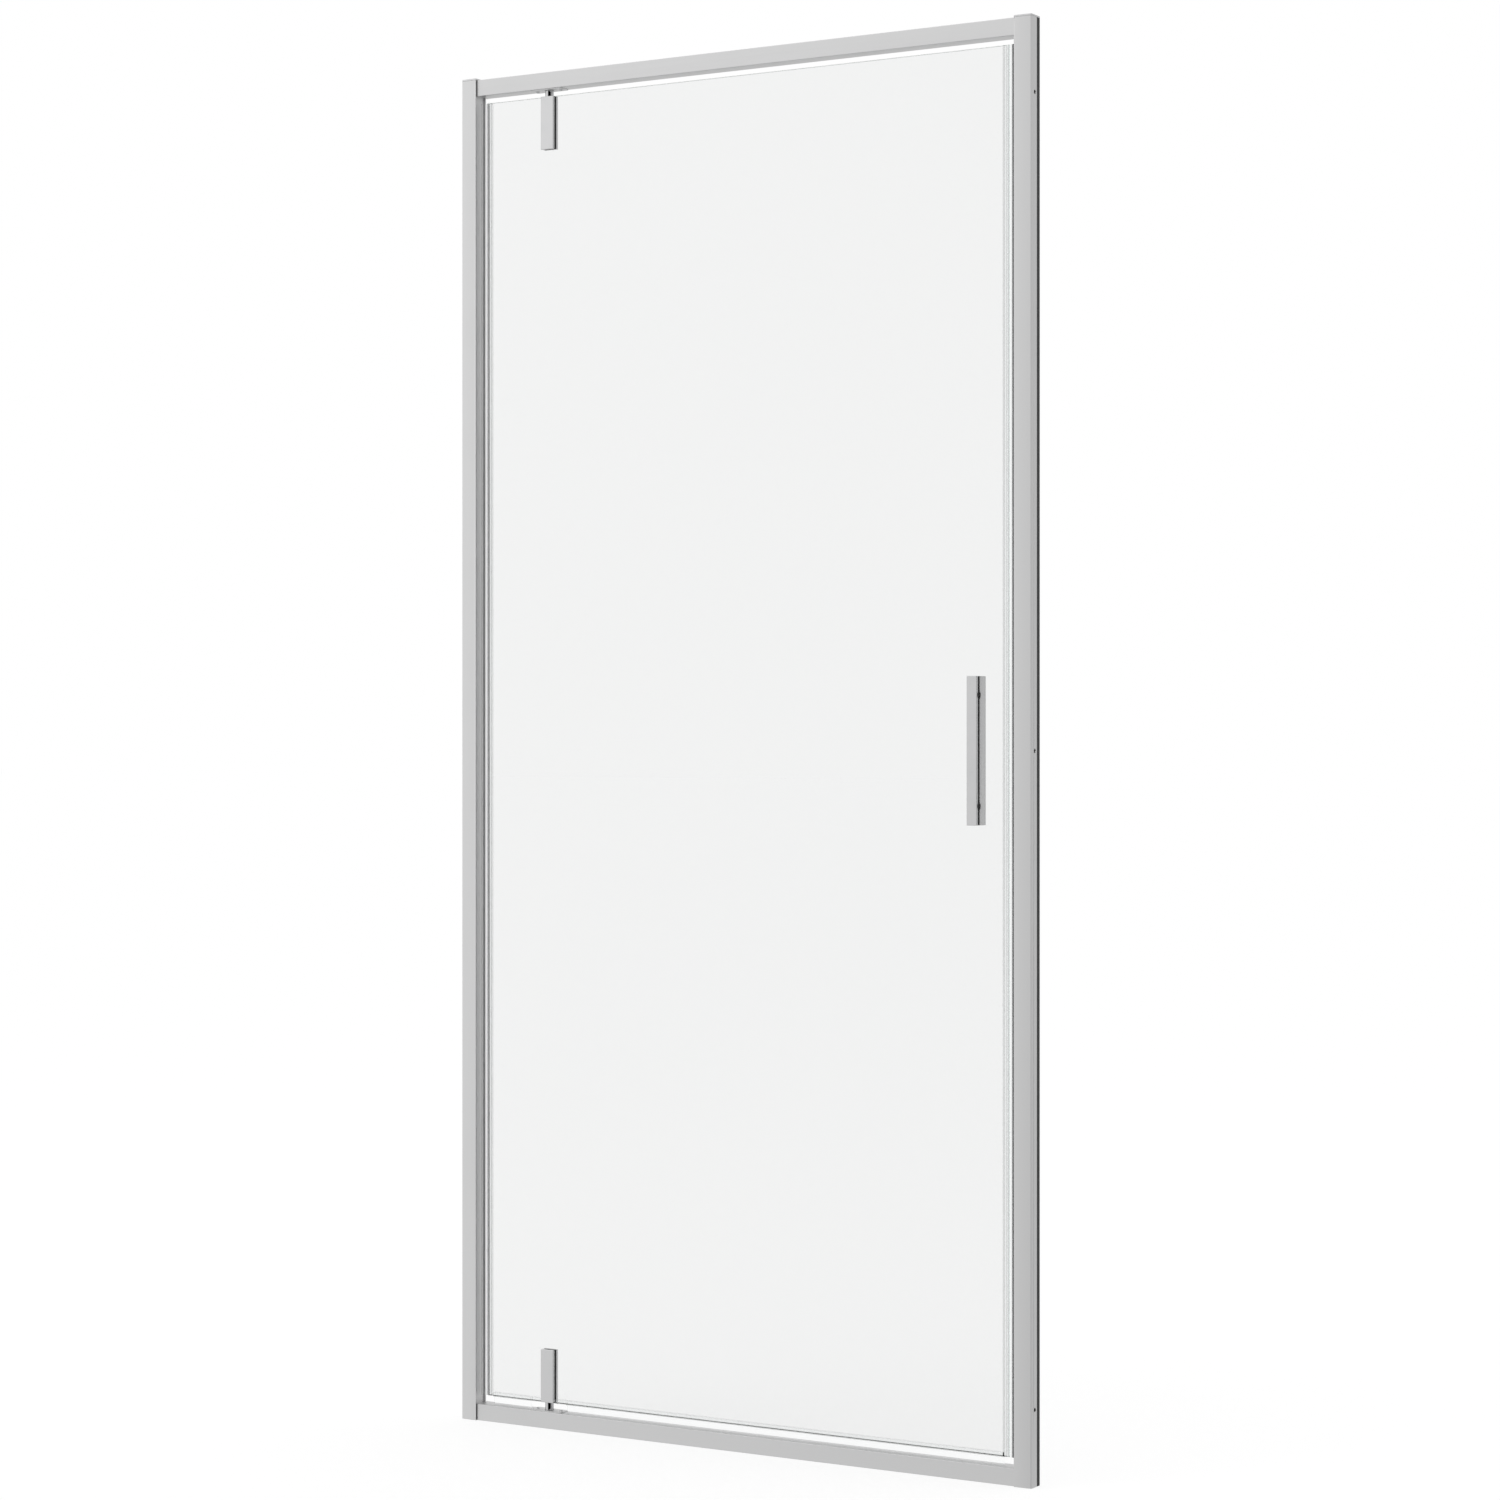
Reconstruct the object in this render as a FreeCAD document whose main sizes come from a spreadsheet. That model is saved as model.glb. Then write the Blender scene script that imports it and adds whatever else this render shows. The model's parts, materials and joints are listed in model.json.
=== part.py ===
"""A framed pivot shower door: wall channels, uprights and rails, and a glass leaf that turns on two pins.

Millimetres. X runs along the door from the hinge side to the strike side, Y runs from the front to the
rear, and Z is up. The origin is the middle of the sill's underside, below the middle of the glass.
"""
import FreeCAD, Part
import os
import re
import Sketcher

# Driving dimensions
SIZES = {
    # Whole frame
    "frame_width": 900,
    "frame_height": 1900,
    "cut_overrun": 1,
    # Wall channel, an extruded U that opens towards the doorway
    "channel_reach": 25,
    "channel_depth": 25,
    "channel_front": 15,
    "flange_wall": 1.6,
    "web_wall": 2.2,
    "channel_corner_radius": 2,
    "channel_inner_radius": 0.6,
    "fixing_hole_diameter": 5.5,
    "fixing_hole_from_front": 10.6,
    "fixing_end_distance": 100,
    # Black strip between the channel and the wall
    "gasket_width": 8.2,
    "gasket_thickness": 1,
    "gasket_from_rear": 0.4,
    # Upright, an extruded U that slides in the wall channel
    "upright_recess": 2.5,
    "upright_reach": 16.5,
    "upright_wall": 1.6,
    "upright_clearance": 0.4,
    # Header and sill, one hollow extrusion with two screw ports
    "rail_height": 23,
    "rail_depth": 25,
    "rail_wall": 1.6,
    "rail_edge_radius": 0.8,
    "port_block": 6.6,
    "rail_notch_clearance": 0.4,
    # Caps on the posts
    "cap_thickness": 2.5,
    "cap_edge_radius": 0.6,
    "cap_plug_depth": 10,
    "cap_plug_wall": 1.6,
    "cap_plug_clearance": 0.3,
    # Screws of the frame
    "screw_clearance": 0.05,
    "corner_shank_diameter": 3.6,
    "corner_screw_length": 20,
    "corner_head_diameter": 6.4,
    "corner_head_height": 2.4,
    "adjuster_shank_diameter": 3.9,
    "adjuster_length": 7,
    "adjuster_head_diameter": 8,
    "adjuster_head_height": 2,
    "adjuster_end_distance": 250,
    # Bearings of the pivot pins
    "pivot_from_side": 141,
    "pin_diameter": 12,
    "pin_tip_chamfer": 1,
    "pin_running_clearance": 0.05,
    "pin_end_clearance": 0.3,
    "bush_diameter": 16,
    "bush_floor": 4,
    "bearing_plate_length": 52,
    "bearing_plate_depth": 20,
    "bearing_plate_thickness": 1.2,
    "bearing_plate_corner_radius": 3,
    "bearing_pin_clearance": 0.5,
    "bearing_screw_spacing": 40,
    "bearing_shank_diameter": 2.9,
    "bearing_screw_length": 8,
    "bearing_head_diameter": 5.6,
    "bearing_head_height": 1.4,
    # Glass
    "glass_thickness": 5,
    "glass_arris": 0.5,
    "glass_hinge_gap": 12.6,
    "glass_strike_gap": 15,
    "glass_top_gap": 9.5,
    "glass_bottom_gap": 12,
    # Pivot clamps
    "clamp_width": 20.9,
    "clamp_height": 74,
    "clamp_front_wall": 3.6,
    "clamp_rear_wall": 4.4,
    "clamp_edge_radius": 0.6,
    "clamp_gasket_thickness": 0.8,
    "clamp_gasket_margin": 0.3,
    "tongue_width": 13.4,
    "tongue_length": 40,
    "tongue_clearance": 0.05,
    "notch_clearance": 0.5,
    "clamp_screw_from_end": 11,
    "clamp_screw_pitch": 18,
    "clamp_shank_diameter": 5,
    "clamp_thread_depth": 2,
    "clamp_head_diameter": 9,
    "clamp_head_height": 2.4,
    "clamp_socket_width": 4,
    "clamp_socket_depth": 1.6,
    # Handle
    "handle_width": 15,
    "handle_length": 195,
    "handle_pitch": 145,
    "handle_from_edge": 50.2,
    "handle_centre_height": 950,
    "handle_plate_thickness": 4,
    "handle_bar_depth": 17.4,
    "handle_edge_radius": 0.8,
    "handle_washer_diameter": 18,
    "handle_washer_thickness": 1,
    "handle_hole_diameter": 10,
    "handle_sleeve_clearance": 0.1,
    "stud_diameter": 6,
    "stud_in_plate": 2.6,
    "stud_in_bar": 10,
    "set_screw_diameter": 4,
    # Clear seals clipped on the glass
    "seal_wall": 0.9,
    "seal_clearance": 0.05,
    "seal_end_gap": 0.3,
    "seal_running_gap": 0.3,
    "bulb_diameter": 8.6,
    "bulb_wall": 0.8,
    "hinge_seal_leg": 9.4,
    "strike_seal_leg": 5.2,
    "bottom_seal_leg": 5.3,
    "bottom_fin_wall": 0.8,
    "bottom_fin_gap": 0.8,
    "bottom_fin_swing_gap": 2,
    # Magnets of the strike side
    "leaf_magnet_reach": 6,
    "leaf_magnet_depth": 6,
    "strike_strip_thickness": 3.1,
    "strike_strip_depth": 10,
    "strike_gap": 0.6,
    "strike_end_gap": 0.5,
}

# Places that several pieces share, as formulas of the sizes
HALF_WIDTH = "(frame_width / 2)"
OPENING_SIDE = f"({HALF_WIDTH} - channel_reach)"
CHANNEL_FRONT = "(-channel_front)"
CHANNEL_REAR = "(channel_depth - channel_front)"
CHANNEL_TOP = "(frame_height - cap_thickness)"
FIXING_PLACE = f"({CHANNEL_FRONT} + fixing_hole_from_front)"
FIXING_HEIGHTS = ("fixing_end_distance", "frame_height / 2", "frame_height - fixing_end_distance")
UPRIGHT_FACE = f"({OPENING_SIDE} + upright_recess)"
UPRIGHT_BACK = f"({UPRIGHT_FACE} + upright_reach)"
UPRIGHT_FRONT = f"({CHANNEL_FRONT} + flange_wall + upright_clearance)"
UPRIGHT_REAR = f"({CHANNEL_REAR} - flange_wall - upright_clearance)"
ADJUSTER_PLACE = f"({UPRIGHT_FACE} + (upright_wall + upright_reach) / 2)"
ADJUSTER_HEIGHTS = ("adjuster_end_distance", "frame_height / 2", "frame_height - adjuster_end_distance")
RAIL_FACE = "(rail_depth / 2)"
SILL_FOOT = "0"
HEADER_FOOT = f"({CHANNEL_TOP} - rail_height)"
CAVITY_FRONT = f"(rail_wall - {RAIL_FACE})"
PORT_PLACE = f"({CAVITY_FRONT} + port_block / 2)"
PORT_HEIGHTS = ("(rail_wall + port_block / 2)", "(rail_height - rail_wall - port_block / 2)")
PORT_BORE = "(corner_shank_diameter + 2 * screw_clearance)"
PIVOT = "(pivot_from_side - frame_width / 2)"
BUSH_HEIGHT = "(rail_height - rail_wall)"
PIN_IN_BUSH = f"({BUSH_HEIGHT} - bush_floor - pin_end_clearance)"
GLASS_LEFT = f"(glass_hinge_gap - {OPENING_SIDE})"
GLASS_RIGHT = f"({OPENING_SIDE} - glass_strike_gap)"
GLASS_FOOT = "(rail_height + glass_bottom_gap)"
GLASS_HEAD = f"({HEADER_FOOT} - glass_top_gap)"
GLASS_FACE = "(glass_thickness / 2)"
CLAMP_FACE = f"({GLASS_FACE} + clamp_gasket_thickness)"
CLAMP_BORE = "(clamp_shank_diameter + 2 * screw_clearance)"
CLAMP_SCREW_DROPS = ("clamp_screw_from_end", "(clamp_screw_from_end + clamp_screw_pitch)")
TONGUE_CENTRE_DROP = "(tongue_length - tongue_width / 2)"
NOTCH_WIDTH = "(tongue_width + 2 * notch_clearance)"
HANDLE_PLACE = f"({GLASS_RIGHT} - handle_from_edge)"
HANDLE_FACE = f"({GLASS_FACE} + handle_washer_thickness)"
STUD_HEIGHTS = ("(handle_centre_height - handle_pitch / 2)", "(handle_centre_height + handle_pitch / 2)")
STUD_BORE = "(stud_diameter + 2 * screw_clearance)"
SEAL_INSIDE = f"({GLASS_FACE} + seal_clearance)"
SEAL_OUTSIDE = f"({SEAL_INSIDE} + seal_wall)"
STRIKE_FACE = f"({UPRIGHT_FACE} - strike_strip_thickness)"
LEAF_TIP = f"({STRIKE_FACE} - strike_gap)"

# How a turned piece or a screw is laid, by where its head end points
HEAD_UP = FreeCAD.Rotation()
HEAD_DOWN = FreeCAD.Rotation(FreeCAD.Vector(1, 0, 0), 180)
HEAD_RIGHT = FreeCAD.Rotation(FreeCAD.Vector(0, 1, 0), 90)
HEAD_LEFT = FreeCAD.Rotation(FreeCAD.Vector(0, 1, 0), -90)
HEAD_REAR = FreeCAD.Rotation(FreeCAD.Vector(1, 0, 0), -90)
NEAR = 1e-4
FULL_TURN = 360
HEXAGON_SIDES = 6

WORD = re.compile(r"[a-z_]+")
doc = FreeCAD.newDocument("shower_door")
sheet = doc.addObject("Spreadsheet::Sheet", "sizes")
nodes = []


def fill_sheet():
    """One row for each size: its name, its number and the name as the cell's alias."""
    for row, (name, number) in enumerate(SIZES.items(), start=1):
        sheet.set(f"A{row}", name)
        sheet.set(f"B{row}", str(number))
        sheet.setAlias(f"B{row}", name)
    doc.recompute()


def bound(formula):
    """The formula with every size name pointing at its cell."""
    return WORD.sub(lambda word: f"sizes.{word[0]}" if word[0] in SIZES else word[0], formula)


def value(formula):
    """What the formula comes to with the present sizes."""
    return float(sheet.evalExpression(bound(formula)))


def mirrored(sign, formula):
    """A place on the right side as it stands, or on the left side with its sign changed."""
    return f"({sign} * {formula})"


def ends(sign, inner, outer):
    """The lower and higher X of a span that is given from the doorway towards the wall."""
    return (inner, outer) if sign > 0 else (mirrored(sign, outer), mirrored(sign, inner))


# Sketches

def sketch_at(body, plane, place):
    """An empty sketch on one of the body's own planes, moved along that plane's normal."""
    sketch = body.newObject("Sketcher::SketchObject", f"{body.Label}_sketch")
    support = [feature for feature in body.Origin.OriginFeatures if feature.Role == f"{plane}_Plane"]
    sketch.AttachmentSupport = [(support[0], "")]
    sketch.MapMode = "FlatFace"
    sketch.setExpression("AttachmentOffset.Base.z", bound(place))
    return sketch


def hold(sketch, kind, target, formula):
    """A dimension of the sketch that follows a formula."""
    number = sketch.addConstraint(Sketcher.Constraint(kind, *target, value(formula)))
    sketch.setExpression(f"Constraints[{number}]", bound(formula))


def polygon(sketch, corners):
    """A closed outline of straight edges with both places of each corner held."""
    points = [FreeCAD.Vector(value(across), value(up), 0) for across, up in corners]
    first = sketch.GeometryCount
    count = len(points)
    for index, point in enumerate(points):
        sketch.addGeometry(Part.LineSegment(point, points[(index + 1) % count]), False)
    for index in range(count):
        following = first + (index + 1) % count
        sketch.addConstraint(Sketcher.Constraint("Coincident", first + index, 2, following, 1))
    for index, (across, up) in enumerate(corners):
        hold(sketch, "DistanceX", (first + index, 1), across)
        hold(sketch, "DistanceY", (first + index, 1), up)


def rectangle(sketch, left, right, foot, head):
    """A rectangle between two places across and two places up."""
    polygon(sketch, [(left, foot), (right, foot), (right, head), (left, head)])


def hexagon(sketch, width):
    """A regular hexagon about the sketch's origin, with its width across the flats."""
    corners = []
    arm = f"{width} / sqrt(3)"
    for angle in range(0, FULL_TURN, FULL_TURN // HEXAGON_SIDES):
        corners.append((f"{arm} * cos({angle})", f"{arm} * sin({angle})"))
    polygon(sketch, corners)


def circle(sketch, across, up, diameter):
    """A circle with its centre and its diameter held."""
    centre = FreeCAD.Vector(value(across), value(up), 0)
    round_edge = Part.Circle(centre, FreeCAD.Vector(0, 0, 1), value(diameter) / 2)
    number = sketch.addGeometry(round_edge, False)
    hold(sketch, "DistanceX", (number, 3), across)
    hold(sketch, "DistanceY", (number, 3), up)
    hold(sketch, "Diameter", (number,), diameter)


# Features

def new_body(label, is_node=True):
    """An empty body, on the list of nodes unless it is only the master of a group."""
    body = doc.addObject("PartDesign::Body", label)
    body.Label = label
    if is_node:
        nodes.append(body)
    return body


def extrude(body, kind, plane, draw, low, high):
    """A pad or a pocket between two places along the axis that is square to the plane."""
    start = f"-({high})" if plane == "XZ" else low
    sketch = sketch_at(body, plane, start)
    draw(sketch)
    feature = body.newObject(f"PartDesign::{kind}", f"{body.Label}_{kind.lower()}")
    feature.Profile = sketch
    feature.setExpression("Length", bound(f"({high}) - ({low})"))
    return feature


def pad(body, plane, draw, low, high):
    """Material inside the outlines that draw makes."""
    extrude(body, "Pad", plane, draw, low, high)
    doc.recompute()


def pocket(body, plane, draw, low, high):
    """A cut inside the outlines that draw makes, which has to take something away."""
    before = body.Shape.Volume
    feature = extrude(body, "Pocket", plane, draw, low, high)
    feature.Reversed = True
    doc.recompute()
    if not body.Shape.Volume < before:
        raise RuntimeError(f"{body.Label}: a cut took nothing away")


def revolve(body, profile):
    """A turned form about the body's own Z axis, from corners of radius and height."""
    sketch = sketch_at(body, "XZ", "0")
    polygon(sketch, profile)
    feature = body.newObject("PartDesign::Revolution", f"{body.Label}_turning")
    feature.Profile = sketch
    feature.ReferenceAxis = (sketch, ["V_Axis"])
    doc.recompute()


def edges_on(body, **places):
    """Names of the edges that lie whole at each given place, such as y=formula."""
    targets = {"xyz".index(axis): value(formula) for axis, formula in places.items()}
    names = []
    for number, edge in enumerate(body.Shape.Edges, start=1):
        box = edge.BoundBox
        lows = (box.XMin, box.YMin, box.ZMin)
        highs = (box.XMax, box.YMax, box.ZMax)
        if all(abs(lows[a] - t) < NEAR and abs(highs[a] - t) < NEAR for a, t in targets.items()):
            names.append(f"Edge{number}")
    return names


def dress(body, kind, size_name, size, names):
    """A fillet or a chamfer on the named edges of the body as it stands."""
    base = body.Tip
    feature = body.newObject(f"PartDesign::{kind}", f"{body.Label}_{kind.lower()}")
    feature.Base = (base, names)
    feature.setExpression(size_name, bound(size))
    doc.recompute()


def fillet(body, radius, names):
    dress(body, "Fillet", "Radius", radius, names)


def chamfer(body, size, names):
    dress(body, "Chamfer", "Size", size, names)


def place(piece, x, y, z, turn=HEAD_UP):
    """Lay a piece with its origin at three formulas."""
    piece.Placement = FreeCAD.Placement(FreeCAD.Vector(), turn)
    for axis, formula in zip("xyz", (x, y, z)):
        piece.setExpression(f"Placement.Base.{axis}", bound(formula))


def group(label, master, places):
    """Copies of one piece as the separate solids of one node."""
    copies = []
    for number, spot in enumerate(places, start=1):
        copy = doc.addObject("App::Link", f"{label}_{number}")
        copy.LinkedObject = master
        place(copy, *spot)
        copies.append(copy)
    node = doc.addObject("Part::Compound", label)
    node.Label = label
    node.Links = copies
    nodes.append(node)
    doc.recompute()


def headed_screw(label, shank_diameter, length, head_diameter, head_height):
    """A screw along Z: its shank below the origin and its head above."""
    body = new_body(label, is_node=False)
    shank = f"({shank_diameter} / 2)"
    head = f"({head_diameter} / 2)"
    low = f"(-{length})"
    profile = [("0", low), (shank, low), (shank, "0"), (head, "0"), (head, head_height), ("0", head_height)]
    revolve(body, profile)
    return body


# Frame

def wall_channel(label, sign):
    """A wall channel: the rounded front corner, the gasket's recess and the drilled holes."""
    body = new_body(label)
    web_inside = f"({HALF_WIDTH} - web_wall)"
    front_inside = f"({CHANNEL_FRONT} + flange_wall)"
    rear_inside = f"({CHANNEL_REAR} - flange_wall)"
    section = [
        (OPENING_SIDE, CHANNEL_FRONT),
        (HALF_WIDTH, CHANNEL_FRONT),
        (HALF_WIDTH, CHANNEL_REAR),
        (OPENING_SIDE, CHANNEL_REAR),
        (OPENING_SIDE, rear_inside),
        (web_inside, rear_inside),
        (web_inside, front_inside),
        (OPENING_SIDE, front_inside),
    ]
    corners = [(mirrored(sign, x), y) for x, y in section]
    pad(body, "XY", lambda sketch: polygon(sketch, corners), "0", CHANNEL_TOP)
    outer_corner = edges_on(body, x=mirrored(sign, HALF_WIDTH), y=CHANNEL_FRONT)
    fillet(body, "channel_corner_radius", outer_corner)
    inner_corner = edges_on(body, x=mirrored(sign, web_inside), y=front_inside)
    fillet(body, "channel_inner_radius", inner_corner)
    recess = ends(sign, f"({HALF_WIDTH} - gasket_thickness)", f"({HALF_WIDTH} + cut_overrun)")
    recess_rear = f"({CHANNEL_REAR} - gasket_from_rear)"
    recess_front = f"({recess_rear} - gasket_width)"
    over_top = f"({CHANNEL_TOP} + cut_overrun)"
    pocket(body, "XY", lambda s: rectangle(s, *recess, recess_front, recess_rear), "-cut_overrun", over_top)

    def fixing_holes(sketch):
        for height in FIXING_HEIGHTS:
            circle(sketch, FIXING_PLACE, height, "fixing_hole_diameter")

    through_web = ends(sign, f"({web_inside} - cut_overrun)", f"({HALF_WIDTH} + cut_overrun)")
    pocket(body, "YZ", fixing_holes, *through_web)
    adjuster_holes(body, sign, rear_inside, CHANNEL_REAR)


def adjuster_holes(body, sign, front, rear):
    """The holes of the adjusting screws through a rear flange."""
    def holes(sketch):
        for height in ADJUSTER_HEIGHTS:
            across = mirrored(sign, ADJUSTER_PLACE)
            circle(sketch, across, height, "adjuster_shank_diameter + 2 * screw_clearance")

    pocket(body, "XZ", holes, f"{front} - upright_clearance / 2", f"{rear} + upright_clearance / 2")


def wall_gasket(label, sign):
    """The strip that fills the recess in a channel's wall side."""
    body = new_body(label)
    across = ends(sign, f"({HALF_WIDTH} - gasket_thickness)", HALF_WIDTH)
    rear = f"({CHANNEL_REAR} - gasket_from_rear)"
    front = f"({rear} - gasket_width)"
    pad(body, "XY", lambda sketch: rectangle(sketch, *across, front, rear), "0", CHANNEL_TOP)


def upright(label, sign):
    """An upright: a U that opens to the wall, drilled for the corner and adjusting screws."""
    body = new_body(label)
    web = f"({UPRIGHT_FACE} + upright_wall)"
    front_inside = f"({UPRIGHT_FRONT} + upright_wall)"
    rear_inside = f"({UPRIGHT_REAR} - upright_wall)"
    section = [
        (UPRIGHT_FACE, UPRIGHT_FRONT),
        (UPRIGHT_BACK, UPRIGHT_FRONT),
        (UPRIGHT_BACK, front_inside),
        (web, front_inside),
        (web, rear_inside),
        (UPRIGHT_BACK, rear_inside),
        (UPRIGHT_BACK, UPRIGHT_REAR),
        (UPRIGHT_FACE, UPRIGHT_REAR),
    ]
    corners = [(mirrored(sign, x), y) for x, y in section]
    pad(body, "XY", lambda sketch: polygon(sketch, corners), "0", CHANNEL_TOP)

    def corner_holes(sketch):
        for foot in (SILL_FOOT, HEADER_FOOT):
            for height in PORT_HEIGHTS:
                circle(sketch, PORT_PLACE, f"{foot} + {height}", PORT_BORE)

    pocket(body, "YZ", corner_holes, *ends(sign, f"({UPRIGHT_FACE} - cut_overrun)", f"({web} + cut_overrun)"))
    adjuster_holes(body, sign, rear_inside, UPRIGHT_REAR)


def rail(label, foot, bush_low, bush_high, wall_low):
    """A rail: the hollow section with two closed screw ports, drilled for the bush and its plate."""
    body = new_body(label)
    front = f"(-{RAIL_FACE})"
    rear_inside = f"({RAIL_FACE} - rail_wall)"
    head = f"({foot} + rail_height)"
    low = f"({foot} + rail_wall)"
    high = f"({head} - rail_wall)"
    port_rear = f"({CAVITY_FRONT} + port_block)"
    cavity = [
        (port_rear, low),
        (rear_inside, low),
        (rear_inside, high),
        (port_rear, high),
        (port_rear, f"({high} - port_block)"),
        (CAVITY_FRONT, f"({high} - port_block)"),
        (CAVITY_FRONT, f"({low} + port_block)"),
        (port_rear, f"({low} + port_block)"),
    ]

    def section(sketch):
        rectangle(sketch, front, RAIL_FACE, foot, head)
        polygon(sketch, cavity)
        for height in PORT_HEIGHTS:
            circle(sketch, PORT_PLACE, f"{foot} + {height}", PORT_BORE)

    pad(body, "YZ", section, f"(-{UPRIGHT_FACE})", UPRIGHT_FACE)
    long_edges = []
    for y in (front, RAIL_FACE):
        for z in (foot, head):
            long_edges += edges_on(body, y=y, z=z)
    fillet(body, "rail_edge_radius", long_edges)
    pocket(body, "XY", flange_notches, f"({foot} - cut_overrun)", f"({head} + cut_overrun)")
    bush_bore = "bush_diameter + 2 * screw_clearance"
    pocket(body, "XY", lambda sketch: circle(sketch, PIVOT, "0", bush_bore), bush_low, bush_high)
    wall_high = f"({wall_low} + rail_wall + 2 * cut_overrun)"
    pocket(body, "XY", bearing_screw_holes, wall_low, wall_high)


def flange_notches(sketch):
    """The rail's two rear corners, cut away so that it enters the channels past their rear flanges."""
    inner = f"({OPENING_SIDE} - rail_notch_clearance)"
    outer = f"({UPRIGHT_FACE} + cut_overrun)"
    front = f"({CHANNEL_REAR} - flange_wall - rail_notch_clearance)"
    rear = f"({RAIL_FACE} + cut_overrun)"
    for sign in (-1, 1):
        rectangle(sketch, *ends(sign, inner, outer), front, rear)


def bearing_screw_holes(sketch):
    """The two holes of a bearing plate's screws, one each side of the pin."""
    for direction in (-1, 1):
        across = f"({PIVOT} + {direction} * bearing_screw_spacing / 2)"
        circle(sketch, across, "0", "bearing_shank_diameter + 2 * screw_clearance")


def rails():
    """The sill on the floor and the header below the caps."""
    rail("sill_rail", SILL_FOOT, "rail_wall", "rail_height + cut_overrun",
         "(rail_height - rail_wall - cut_overrun)")
    rail("header_rail", HEADER_FOOT, f"{HEADER_FOOT} - cut_overrun", f"{CHANNEL_TOP} - rail_wall",
         f"({HEADER_FOOT} - cut_overrun)")


def top_cap(label, sign):
    """A cap with the post's outline and a hollow plug that enters the upright."""
    body = new_body(label)
    across = ends(sign, OPENING_SIDE, HALF_WIDTH)
    outline = (*across, CHANNEL_FRONT, CHANNEL_REAR)
    pad(body, "XY", lambda sketch: rectangle(sketch, *outline), CHANNEL_TOP, "frame_height")
    fillet(body, "channel_corner_radius", edges_on(body, x=mirrored(sign, HALF_WIDTH), y=CHANNEL_FRONT))
    fillet(body, "cap_edge_radius", edges_on(body, z="frame_height"))
    plug_inner = f"({UPRIGHT_FACE} + upright_wall + corner_head_height + cap_plug_clearance)"
    plug_outer = f"({UPRIGHT_BACK} - cap_plug_clearance)"
    plug_front = f"({UPRIGHT_FRONT} + upright_wall + cap_plug_clearance)"
    plug_rear = f"({UPRIGHT_REAR} - upright_wall - cap_plug_clearance)"
    hollow = ends(sign, f"({plug_inner} + cap_plug_wall)", f"({plug_outer} - cap_plug_wall)")

    def plug(sketch):
        rectangle(sketch, *ends(sign, plug_inner, plug_outer), plug_front, plug_rear)
        rectangle(sketch, *hollow, f"{plug_front} + cap_plug_wall", f"{plug_rear} - cap_plug_wall")

    pad(body, "XY", plug, f"({CHANNEL_TOP} - cap_plug_depth)", CHANNEL_TOP)


def frame_screws():
    """The corner screws, the adjusting screws and the bearing plates' screws."""
    corner = headed_screw("corner_screw", "corner_shank_diameter", "corner_screw_length",
                          "corner_head_diameter", "corner_head_height")
    seat = f"({UPRIGHT_FACE} + upright_wall)"
    places = []
    for foot in (SILL_FOOT, HEADER_FOOT):
        for height in PORT_HEIGHTS:
            places.append((seat, PORT_PLACE, f"{foot} + {height}", HEAD_RIGHT))
            places.append((f"-{seat}", PORT_PLACE, f"{foot} + {height}", HEAD_LEFT))
    group("corner_screws", corner, places)
    adjuster = headed_screw("adjusting_screw", "adjuster_shank_diameter", "adjuster_length",
                            "adjuster_head_diameter", "adjuster_head_height")
    places = []
    for sign in (-1, 1):
        for height in ADJUSTER_HEIGHTS:
            places.append((mirrored(sign, ADJUSTER_PLACE), CHANNEL_REAR, height, HEAD_REAR))
    group("adjusting_screws", adjuster, places)
    bearing = headed_screw("bearing_screw", "bearing_shank_diameter", "bearing_screw_length",
                           "bearing_head_diameter", "bearing_head_height")
    places = []
    for direction in (-1, 1):
        across = f"({PIVOT} + {direction} * bearing_screw_spacing / 2)"
        places.append((across, "0", "rail_height + bearing_plate_thickness", HEAD_UP))
        places.append((across, "0", f"{HEADER_FOOT} - bearing_plate_thickness", HEAD_DOWN))
    group("bearing_screws", bearing, places)


def bearing_plate(label, low):
    """A thin plate on a rail, round the pin."""
    body = new_body(label)
    half_length = "bearing_plate_length / 2"
    half_depth = "(bearing_plate_depth / 2)"
    left = f"({PIVOT} - {half_length})"
    right = f"({PIVOT} + {half_length})"

    def outline(sketch):
        rectangle(sketch, left, right, f"-{half_depth}", half_depth)
        circle(sketch, PIVOT, "0", "pin_diameter + 2 * bearing_pin_clearance")
        bearing_screw_holes(sketch)

    pad(body, "XY", outline, low, f"{low} + bearing_plate_thickness")
    corners = []
    for x in (left, right):
        for y in (f"-{half_depth}", half_depth):
            corners += edges_on(body, x=x, y=y)
    fillet(body, "bearing_plate_corner_radius", corners)


def pivot_bush(label, height, turn):
    """A cup whose floor carries the pin's end and whose bore guides it."""
    body = new_body(label)
    outside = "(bush_diameter / 2)"
    bore = "(pin_diameter / 2 + pin_running_clearance)"
    profile = [
        ("0", "0"),
        (outside, "0"),
        (outside, BUSH_HEIGHT),
        (bore, BUSH_HEIGHT),
        (bore, "bush_floor"),
        ("0", "bush_floor"),
    ]
    revolve(body, profile)
    place(body, PIVOT, "0", height, turn)


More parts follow.
